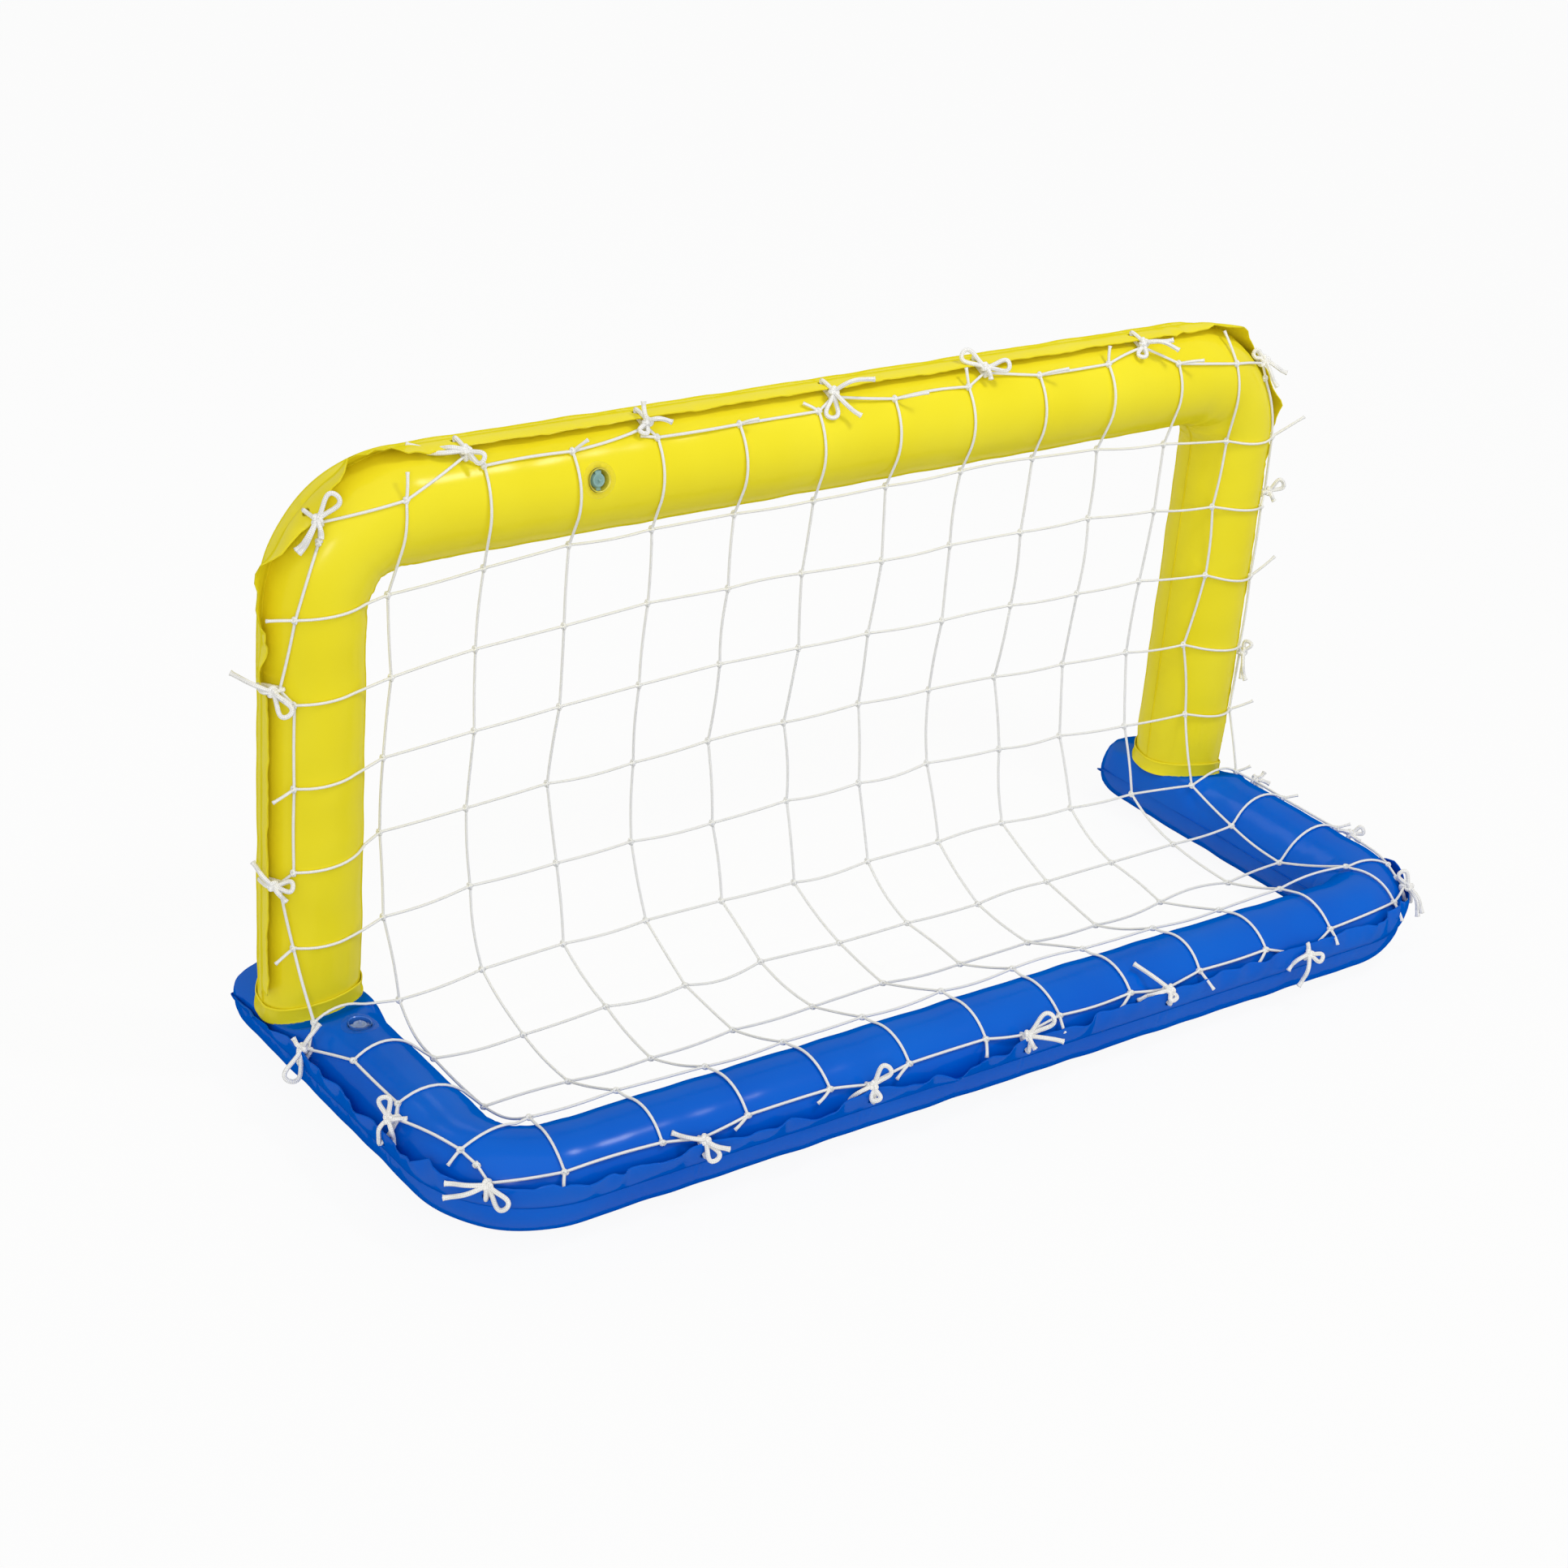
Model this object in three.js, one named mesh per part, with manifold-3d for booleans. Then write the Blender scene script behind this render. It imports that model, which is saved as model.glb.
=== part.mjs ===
// Inflatable water polo goal.
//
// Two air chambers of welded vinyl film: a U-shaped base that lies on the water or the floor, and an arch
// that stands on its legs. Each chamber is two sheets joined at a seam, with a wide punched flap on the
// outside and a narrow lip on the inside. A knotted net hangs from the arch and is tied to both flaps.
//
// Units are millimetres. +Z is up, +Y points out of the goal mouth, +X runs along the bars.
// While the pieces are made, Y is zero at the post axes. The finished group is moved along Y so that the
// origin lies under the middle of the whole goal.

import * as THREE from 'three';
import { mergeVertices } from 'three/addons/utils/BufferGeometryUtils.js';
import Module from 'manifold-3d';

const wasm = await Module();
wasm.setup();

// Layout.
const HALF_SPAN = 605; // post and leg axes from the middle of the goal
const BAR_HEIGHT = 600; // axis of the top bar above the floor
const BACK_REACH = 372; // axis of the back bar behind the post axes
const FRONT_REACH = 106; // tip of a leg's air chamber ahead of the post axes

// tubes, as inflated
const BASE_RADIUS = 50;
const POST_RADIUS = 53;
const BAR_RADIUS = 59;
const BASE_CORNER_RADIUS = 78; // bend of the tube's axis
const ARCH_CORNER_RADIUS = 92;
const LEG_TIP_LENGTH = 53; // length over which a leg closes to its seam
const TIP_SAG = 36; // how far a leg's tip hangs below the tube's axis
const HALF_TUBE_FACETS = 9; // odd, so that the lowest facet is flat
const CORNER_STEPS = 4;

// film and seam
const FILM = 0.4;
const GAP = 0.3; // between pieces that touch
const FLAP_WIDTH = 30;
const LIP_WIDTH = 4;
const TIP_FLAP = 8; // flap ahead of a leg's tip
const TRIMMED_FLAP = 0.5; // what is left of flap and lip inside a foot collar
const BASE_FLAP_ANGLE = 45; // degrees, how far a flap leans from the seam plane to the net's side
const POST_FLAP_ANGLE = 40;
const BAR_FLAP_ANGLE = 70;
const TIP_TURN_SHARES = [1, 0.76, 0.42]; // of the quarter ellipse that a leg's tip closes along
const TIP_FLAP_SHARES = [0.45, 0.8, 1];

// feet
const FOOT_END_HEIGHT = 62; // lowest edge of the post film, beside the leg
const FLAP_END_HEIGHT = 82; // lowest point of the post's flap
const FLAP_TRIM_STEP = 1;
const COLLAR_TOP_HEIGHT = 116;
const COLLAR_WALL = 0.8;
const COLLAR_SLOT_WIDTH = 6;
const COLLAR_FACETS = 18;

// tie holes and ties
const HOLE_RADIUS = 4.4;
const HOLE_FACETS = 6;
const HOLE_SHARE = 0.52; // of the flap's width, from the seam
const TIE_HALF = 1.9; // half the thickness of the tie cord
const TIE_SLACK = 0.5;
const BOW_LENGTH = 34;
const BOW_RISE = 6;
const BOW_SPREAD = 6;
const TAIL_LENGTH = 30;
const TAIL_RISE = 3;
const BAR_TIE_SHARES = [-0.76, -0.415, -0.03, 0.31, 0.69]; // of the half span
const BACK_TIE_SHARES = [-0.685, -0.34, -0.008, 0.328, 0.665];
const POST_TIE_SHARES = [0.74, 0.388]; // of the bar's height
const LEG_TIE_SHARES = [0.255, 0.7]; // of the back reach

// net
const COLUMNS = 14;
const ROWS = 11;
const NET_PITCH_SHARE = 0.0831; // of the full span, from column to column
const NET_SHIFT = 10; // the net hangs off the middle, as it is tied
const STRAND_HALF = 1.3;
const KNOT_REACH = 4.1; // from a knot's middle to where its four strands leave it
const KNOT_DEPTH = 3.3;
const WRAP_STEPS = 4;
const WRAP_PASSES = 12;
const WRAP_LIFT = 4.6; // strand axis above a tube that it bends over
const BEND_LIFT = 1.5; // more for the edge strand where it bends over a corner
const CORNER_KNOT_SHIFT = 18; // the net's corner knots sit beside the corner ties
const EDGE_DROP = 33; // how much lower the net's sides hang than its middle
const WAVE = 2.4; // unevenness of the hand-tied net
const BAR_STRAND_ANGLE = 44; // degrees round the tube from the seam to the net's edge strand
const BACK_STRAND_ANGLE = 37;
const POST_STRAND_ANGLE = 46;
const LEG_STRAND_ANGLE = 52;
const CORNER_STRAND_ANGLE = 42;
const ROW_HEIGHT_SHARES = [1.07, 0.913, 0.77, 0.62, 0.466, 0.318, 0.176, 0.112, 0.098, 0.158, 0.13];
const ROW_BACK_SHARES = [0.11, 0.119, 0.113, 0.105, 0.078, 0.119, 0.197, 0.419, 0.66, 0.897, 1.12];
const ROW_DROP_SHARES = [0.4, 1, 1, 1, 1, 0.9, 0.7, 0, 0, 0, 0];

// valves
const VALVE_FLANGE_RADIUS = 19;
const VALVE_FLANGE_WALL = 1;
const VALVE_SOCKET_RADIUS = 11; // inside
const VALVE_SOCKET_WALL = 1.2;
const VALVE_SOCKET_DEPTH = 12;
const VALVE_FLOOR_WALL = 1.2;
const VALVE_HOLE_PLAY = 0.5;
const STEM_RADIUS = 7.4;
const STEM_BORE_RADIUS = 4.6;
const STEM_PLAY = 0.4;
const STEM_SINK = 2; // top of the stem below the flange while it is pushed in
const STEM_TRAVEL = 10;
const STEM_RIM_RADIUS = 9.4;
const STEM_RIM_WALL = 1.4;
const PLUG_HEAD_RADIUS = 6.9;
const PLUG_HEAD_WALL = 1.4;
const PLUG_SHANK_LENGTH = 9;
const PLUG_PLAY = 0.4;
const PLUG_GRIP_RADIUS = 1.2;
const PLUG_GRIP_HEIGHT = 1;
const CHECK_RADIUS = 6.2;
const CHECK_WALL = 0.8;
const CHECK_EAR = 1.6;
const VALVE_FACETS = 12;
const BAR_VALVE_SHARE = -0.526; // of the half span
const BAR_VALVE_ANGLE = 75; // degrees round the bar from its seam
const LEG_VALVE_SHARE = 0.293; // of the back reach

const CUT_OVERRUN = 6;
const PATH_SAMPLE = 4; // spacing of the points that stand for a tube's axis
const WELD_DISTANCE = 0.00001; // corners of a mesh that are closer than this are one

const DEGREE = Math.PI / 180;
const FACET_ANGLE = Math.PI / HALF_TUBE_FACETS;
const FIRST_FACET = Math.PI / 2 + FACET_ANGLE / 2; // direction of the first facet, from the outward normal
const AXIS_HEIGHT = BASE_RADIUS * Math.cos(FACET_ANGLE / 2);
const NET_PITCH = 2 * HALF_SPAN * NET_PITCH_SHARE;
const STRAND_CORNER = STRAND_HALF * Math.SQRT2;
const EDGE_LIFT = 2 * TIE_SLACK + 2 * TIE_HALF + STRAND_CORNER; // edge strand above the tube, a tie between

const vec = (x, y, z) => new THREE.Vector3(x, y, z);
const flat = (x, y) => new THREE.Vector2(x, y);

// Solids.
function bare(geometry) {
  const copy = geometry.clone();
  copy.deleteAttribute('normal');
  copy.deleteAttribute('uv');
  return mergeVertices(copy, WELD_DISTANCE);
}

function solidOf(geometry) {
  const mesh = bare(geometry);
  return new wasm.Manifold(new wasm.Mesh({
    numProp: 3,
    vertProperties: new Float32Array(mesh.attributes.position.array),
    triVerts: new Uint32Array(mesh.index.array),
  }));
}

function geometryOf(solid) {
  const mesh = solid.getMesh();
  const geometry = new THREE.BufferGeometry();
  geometry.setAttribute('position', new THREE.BufferAttribute(new Float32Array(mesh.vertProperties), 3));
  geometry.setIndex(new THREE.BufferAttribute(new Uint32Array(mesh.triVerts), 1));
  geometry.computeVertexNormals();
  return geometry;
}

// A closed skin from points and faces. Faces that have shrunk to an edge are dropped and the faces are
// turned outwards.
function closedSkin(points, faces) {
  const loose = new THREE.BufferGeometry();
  loose.setAttribute('position', new THREE.Float32BufferAttribute(points.flatMap((p) => [p.x, p.y, p.z]), 3));
  loose.setIndex(faces.flat());
  const merged = mergeVertices(loose, WELD_DISTANCE);
  const index = merged.index.array;
  const at = (i) => vec(0, 0, 0).fromBufferAttribute(merged.attributes.position, i);
  const kept = [];
  let volume = 0;
  for (let i = 0; i < index.length; i += 3) {
    const [a, b, c] = [index[i], index[i + 1], index[i + 2]];
    if (a !== b && b !== c && a !== c) {
      kept.push([a, b, c]);
      volume += at(a).dot(at(b).cross(at(c)));
    }
  }
  merged.setIndex(kept.flatMap(([a, b, c]) => (volume > 0 ? [a, b, c] : [a, c, b])));
  merged.computeVertexNormals();
  return merged;
}

// A tube of four-cornered rings, closed on itself or capped.
function ringTube(rings, joined) {
  const count = rings[0].length;
  const points = rings.flat();
  const faces = [];
  const last = joined ? rings.length : rings.length - 1;
  for (let i = 0; i < last; i += 1) {
    const next = (i + 1) % rings.length;
    for (let j = 0; j < count; j += 1) {
      const k = (j + 1) % count;
      const [a, b, c, d] = [i * count + j, i * count + k, next * count + k, next * count + j];
      faces.push([a, b, c], [a, c, d]);
    }
  }
  if (!joined) {
    const end = (rings.length - 1) * count;
    for (let j = 1; j < count - 1; j += 1) {
      faces.push([0, j + 1, j], [end, end + j, end + j + 1]);
    }
  }
  return closedSkin(points, faces);
}

// A square cord along points that lie in the plane square to `across`.
function flatCord(points, across, half, joined) {
  const rings = points.map((point, i) => {
    const before = points[(i + points.length - 1) % points.length];
    const after = points[(i + 1) % points.length];
    const incoming = joined || i > 0 ? point.clone().sub(before).normalize() : null;
    const outgoing = joined || i < points.length - 1 ? after.clone().sub(point).normalize() : null;
    const along = (incoming && outgoing ? incoming.clone().add(outgoing) : incoming ?? outgoing).normalize();
    const miter = incoming && outgoing ? 1 / Math.max(along.dot(outgoing), Math.SQRT1_2) : 1;
    const side = across.clone().cross(along).normalize().multiplyScalar(half * miter);
    const deep = across.clone().multiplyScalar(half);
    return [
      point.clone().add(side).add(deep),
      point.clone().sub(side).add(deep),
      point.clone().sub(side).sub(deep),
      point.clone().add(side).sub(deep),
    ];
  });
  return ringTube(rings, joined);
}

function cylinderBetween(start, end, radius, facets) {
  const along = end.clone().sub(start);
  const geometry = new THREE.CylinderGeometry(radius, radius, along.length(), facets);
  const turn = new THREE.Quaternion().setFromUnitVectors(vec(0, 1, 0), along.clone().normalize());
  const middle = start.clone().add(end).multiplyScalar(0.5);
  geometry.applyMatrix4(new THREE.Matrix4().compose(middle, turn, vec(1, 1, 1)));
  return geometry;
}

// Tube axes.
// Stations along a U in its own plane: `reach` is the closed side's distance from the start of the legs.
function uStations(reach, cornerRadius, cornerSteps) {
  const stations = [];
  const inner = HALF_SPAN - cornerRadius;
  stations.push({ x: HALF_SPAN, q: 0, nx: 1, nq: 0, turn: 0 });
  for (let i = 0; i <= cornerSteps; i += 1) {
    const share = i / cornerSteps;
    const angle = share * Math.PI / 2;
    const [nx, nq] = [Math.cos(angle), Math.sin(angle)];
    stations.push({
      x: inner + cornerRadius * nx, q: reach - cornerRadius + cornerRadius * nq, nx, nq, turn: share,
    });
  }
  for (let i = 0; i <= cornerSteps; i += 1) {
    const share = 1 - i / cornerSteps;
    const angle = share * Math.PI / 2;
    const [nx, nq] = [Math.cos(angle), Math.sin(angle)];
    stations.push({
      x: -inner - cornerRadius * nx, q: reach - cornerRadius + cornerRadius * nq, nx: -nx, nq, turn: share,
    });
  }
  stations.push({ x: -HALF_SPAN, q: 0, nx: -1, nq: 0, turn: 0 });
  return stations;
}

function baseStation(station, startY) {
  return {
    centre: vec(station.x, startY - station.q, AXIS_HEIGHT),
    out: vec(station.nx, -station.nq, 0),
    lean: vec(0, 0, 1),
    radius: BASE_RADIUS,
    angle: BASE_FLAP_ANGLE * DEGREE,
    scale: 1,
    flap: FLAP_WIDTH,
    lip: LIP_WIDTH,
  };
}

function archStation(station, startZ) {
  return {
    centre: vec(station.x, 0, startZ + station.q),
    out: vec(station.nx, 0, station.nq),
    lean: vec(0, -1, 0),
    radius: POST_RADIUS + (BAR_RADIUS - POST_RADIUS) * station.turn,
    angle: (POST_FLAP_ANGLE + (BAR_FLAP_ANGLE - POST_FLAP_ANGLE) * station.turn) * DEGREE,
    scale: 1,
    flap: FLAP_WIDTH,
    lip: LIP_WIDTH,
  };
}

const LEG_START_Y = FRONT_REACH - LEG_TIP_LENGTH;
const basePath = uStations(LEG_START_Y + BACK_REACH, BASE_CORNER_RADIUS, CORNER_STEPS)
  .map((station) => baseStation(station, LEG_START_Y));
const archPath = uStations(BAR_HEIGHT - FLAP_END_HEIGHT, ARCH_CORNER_RADIUS, CORNER_STEPS)
  .map((station) => archStation(station, FLAP_END_HEIGHT));

// The leg's tip closes along a quarter ellipse, and the flap runs on past it.
function tipStations(leg) {
  const stations = TIP_TURN_SHARES.map((share, i) => ({
    ...leg,
    centre: vec(
      leg.centre.x,
      LEG_START_Y + LEG_TIP_LENGTH * Math.sin(share * Math.PI / 2),
      AXIS_HEIGHT - TIP_SAG * (1 - Math.cos(share * Math.PI / 2)),
    ),
    scale: share === 1 ? 0 : Math.cos(share * Math.PI / 2),
    flap: FLAP_WIDTH * TIP_FLAP_SHARES[i],
  }));
  const edge = { ...stations[0], centre: stations[0].centre.clone().setY(FRONT_REACH + TIP_FLAP) };
  return [edge, ...stations];
}

// The post's film runs on below its flap, inside the collar.
function footStations(post) {
  const trimmed = { ...post, flap: TRIMMED_FLAP, lip: TRIMMED_FLAP };
  return [
    { ...trimmed, centre: post.centre.clone().setZ(FOOT_END_HEIGHT) },
    { ...trimmed, centre: post.centre.clone().setZ(FLAP_END_HEIGHT - FLAP_TRIM_STEP) },
  ];
}

const baseStations = [
  ...tipStations(basePath[0]), ...basePath, ...tipStations(basePath[basePath.length - 1]).reverse(),
];
const archStations = [
  ...footStations(archPath[0]), ...archPath, ...footStations(archPath[archPath.length - 1]).reverse(),
];

// Film sheets.
// One half of a tube's section, from the flap's edge over the half tube to the lip's edge. `side` is +1 for
// the sheet on the net's side and -1 for the other. Each point is a pair: outer skin and inner skin.
function sheetSection(station, side) {
  const radius = station.radius * station.scale;
  const angle = station.angle * side;
  const near = GAP / 2;
  const far = GAP / 2 + FILM;
  const along = flat(Math.cos(angle), Math.sin(angle));
  const over = flat(-Math.sin(angle), Math.cos(angle));
  const root = flat(radius, 0);
  const pairs = [[
    root.clone().addScaledVector(along, station.flap).addScaledVector(over, far),
    root.clone().addScaledVector(along, station.flap).addScaledVector(over, near),
  ]];
  const wall = flat(Math.cos(FIRST_FACET), Math.sin(FIRST_FACET));
  const normal = flat(Math.cos(FACET_ANGLE / 2), Math.sin(FACET_ANGLE / 2));
  const corner = (lean, mirror) => {
    const outer = far / Math.sin(FIRST_FACET - lean);
    const inner = (near - FILM * Math.sin(lean - FACET_ANGLE / 2)) / Math.sin(FIRST_FACET - lean);
    const outerPoint = flat(radius, 0).addScaledVector(wall, outer);
    const innerPoint = flat(radius, 0).addScaledVector(wall, inner).addScaledVector(normal, -FILM);
    return [outerPoint, innerPoint].map((p) => flat(mirror * p.x, p.y));
  };
  const middle = [flat(0, far), flat(0, near)];
  pairs.push(station.scale === 0 ? middle : corner(angle, 1));
  for (let i = 1; i < HALF_TUBE_FACETS; i += 1) {
    const turn = flat(Math.cos(i * FACET_ANGLE), Math.sin(i * FACET_ANGLE));
    pairs.push(station.scale === 0 ? middle : [
      turn.clone().multiplyScalar(radius), turn.clone().multiplyScalar(radius - FILM),
    ]);
  }
  pairs.push(station.scale === 0 ? middle : corner(0, -1));
  pairs.push([flat(-radius - station.lip, far), flat(-radius - station.lip, near)]);
  return pairs.map((pair) => pair.map((p) => station.centre.clone()
    .addScaledVector(station.out, p.x).addScaledVector(station.lean, p.y * side)));
}

function filmSheet(stations, side) {
  const sections = stations.map((station) => sheetSection(station, side));
  const width = sections[0].length;
  const points = sections.flatMap((section) => section.flat());
  const id = (i, j, skin) => (i * width + j) * 2 + skin;
  const faces = [];
  const quad = (a, b, c, d) => faces.push([a, b, c], [a, c, d]);
  for (let i = 0; i < sections.length - 1; i += 1) {
    for (let j = 0; j < width - 1; j += 1) {
      quad(id(i, j, 0), id(i + 1, j, 0), id(i + 1, j + 1, 0), id(i, j + 1, 0));
      quad(id(i, j, 1), id(i, j + 1, 1), id(i + 1, j + 1, 1), id(i + 1, j, 1));
    }
    quad(id(i, 0, 0), id(i, 0, 1), id(i + 1, 0, 1), id(i + 1, 0, 0));
    quad(id(i, width - 1, 0), id(i + 1, width - 1, 0), id(i + 1, width - 1, 1), id(i, width - 1, 1));
  }
  for (let j = 0; j < width - 1; j += 1) {
    const end = sections.length - 1;
    quad(id(0, j, 0), id(0, j + 1, 0), id(0, j + 1, 1), id(0, j, 1));
    quad(id(end, j, 0), id(end, j, 1), id(end, j + 1, 1), id(end, j + 1, 0));
  }
  return closedSkin(points, faces);
}

// Places along a seam.
// Points that stand for a tube's axis, closely spaced, with the frame at each of them.
function sampleAxis(stations) {
  const samples = [];
  stations.slice(0, -1).forEach((station, i) => {
    const next = stations[i + 1];
    const steps = Math.max(1, Math.ceil(station.centre.distanceTo(next.centre) / PATH_SAMPLE));
    for (let k = 0; k < steps; k += 1) {
      const share = k / steps;
      samples.push({
        centre: station.centre.clone().lerp(next.centre, share),
        out: station.out.clone().lerp(next.out, share).normalize(),
        lean: station.lean,
        radius: station.radius + (next.radius - station.radius) * share,
        angle: station.angle + (next.angle - station.angle) * share,
      });
    }
  });
  return samples;
}

const baseAxis = sampleAxis(basePath);
const archAxis = sampleAxis(archPath);

function nearest(samples, point) {
  return samples.reduce((best, sample) => (
    sample.centre.distanceToSquared(point) < best.centre.distanceToSquared(point) ? sample : best));
}

// The place on a tube's seam beside a point, exact on its straight runs and at the middle of its corners.
function seamPlace(stations, point) {
  const straight = stations.slice(0, -1).map((station, i) => [station, stations[i + 1]]);
  const found = straight.map(([from, to]) => {
    const run = to.centre.clone().sub(from.centre);
    const share = THREE.MathUtils.clamp(point.clone().sub(from.centre).dot(run) / run.lengthSq(), 0, 1);
    return {
      centre: from.centre.clone().lerp(to.centre, share),
      out: from.out.clone().lerp(to.out, share).normalize(),
      lean: from.lean,
      radius: from.radius + (to.radius - from.radius) * share,
      angle: from.angle + (to.angle - from.angle) * share,
    };
  });
  return nearest(found, point);
}

// A point round the tube from its seam, `turn` radians towards the net's side.
function roundTube(place, turn, radius) {
  return place.centre.clone()
    .addScaledVector(place.out, radius * Math.cos(turn))
    .addScaledVector(place.lean, radius * Math.sin(turn));
}

// Net.
const BASE_CORNER_POINT = vec(HALF_SPAN, -BACK_REACH, AXIS_HEIGHT);
const ARCH_CORNER_POINT = vec(HALF_SPAN, 0, BAR_HEIGHT);
const BASE_KNOT_POINT = vec(HALF_SPAN, CORNER_KNOT_SHIFT - BACK_REACH, AXIS_HEIGHT);
const ARCH_KNOT_POINT = vec(HALF_SPAN, 0, BAR_HEIGHT - CORNER_KNOT_SHIFT);
const mirrored = (point, sign) => vec(point.x * sign, point.y, point.z);

function edgeNode(stations, point, degrees) {
  const place = seamPlace(stations, point);
  return roundTube(place, degrees * DEGREE, place.radius + EDGE_LIFT);
}

function netNode(column, row) {
  const x = (column - (COLUMNS - 1) / 2) * NET_PITCH + NET_SHIFT;
  const sideShare = Math.abs(column - (COLUMNS - 1) / 2) / ((COLUMNS - 1) / 2);
  const drop = EDGE_DROP * ROW_DROP_SHARES[row] * sideShare ** 3;
  const y = -BACK_REACH * ROW_BACK_SHARES[row];
  const z = BAR_HEIGHT * ROW_HEIGHT_SHARES[row] - drop;
  const onSide = column === 0 || column === COLUMNS - 1;
  const sign = column === 0 ? -1 : 1;
  if (onSide && row === 0) {
    return edgeNode(archPath, mirrored(ARCH_KNOT_POINT, sign), CORNER_STRAND_ANGLE);
  }
  if (onSide && row === ROWS - 1) {
    return edgeNode(basePath, mirrored(BASE_KNOT_POINT, sign), CORNER_STRAND_ANGLE);
  }
  if (row === 0) {
    return edgeNode(archPath, vec(x, 0, BAR_HEIGHT), BAR_STRAND_ANGLE);
  }
  if (row === ROWS - 1) {
    return edgeNode(basePath, vec(x, -BACK_REACH, AXIS_HEIGHT), BACK_STRAND_ANGLE);
  }
  if (onSide && z > COLLAR_TOP_HEIGHT) {
    return edgeNode(archPath, vec(HALF_SPAN * sign, 0, z), POST_STRAND_ANGLE);
  }
  if (onSide) {
    return edgeNode(basePath, vec(HALF_SPAN * sign, y, AXIS_HEIGHT), LEG_STRAND_ANGLE);
  }
  const wave = vec(
    WAVE * Math.sin(2 * column + 3 * row), WAVE * Math.sin(3 * column - 2 * row), WAVE * Math.sin(column + 5 * row),
  );
  return clearOfTubes(vec(x, y, z).add(wave), WRAP_LIFT);
}

// Moves a point out of the tubes until it lies `lift` above them.
function clearOfTubes(point, lift) {
  const moved = point.clone();
  [archAxis, baseAxis].forEach((samples) => {
    const place = nearest(samples, moved);
    const away = moved.clone().sub(place.centre);
    const least = place.radius + lift;
    if (away.length() < least) {
      moved.copy(place.centre).addScaledVector(away.normalize(), least);
    }
  });
  return moved;
}

function isClear(from, to, least) {
  const checks = 2 * WRAP_STEPS;
  for (let i = 1; i < checks; i += 1) {
    const point = from.clone().lerp(to, i / checks);
    const blocked = [archAxis, baseAxis].some((samples) => {
      const place = nearest(samples, point);
      return point.distanceTo(place.centre) < place.radius + least;
    });
    if (blocked) {
      return false;
    }
  }
  return true;
}

const nodes = Array.from({ length: COLUMNS }, (_, column) => (
  Array.from({ length: ROWS }, (_unused, row) => netNode(column, row))));

// A strand's bends: none where it runs free, evenly spaced ones where it lies round a tube.
function strandPoints(from, to, onEdge) {
  if (isClear(from, to, onEdge ? EDGE_LIFT - TIE_SLACK : STRAND_CORNER + GAP)) {
    return [from, to];
  }
  const lift = onEdge ? EDGE_LIFT + BEND_LIFT : WRAP_LIFT;
  const path = Array.from({ length: WRAP_STEPS + 1 }, (_, i) => from.clone().lerp(to, i / WRAP_STEPS));
  for (let pass = 0; pass < WRAP_PASSES; pass += 1) {
    for (let i = 1; i < WRAP_STEPS; i += 1) {
      path[i].copy(clearOfTubes(path[i - 1].clone().lerp(path[i + 1], 1 / 2), lift));
    }
  }
  return path;
}

// Each knot is a faceted lump between the square ends of its four strands, so the whole net is one skin.
const RING = [[1, 1], [-1, 1], [-1, -1], [1, -1]]; // side and depth of a strand's four edges

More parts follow.
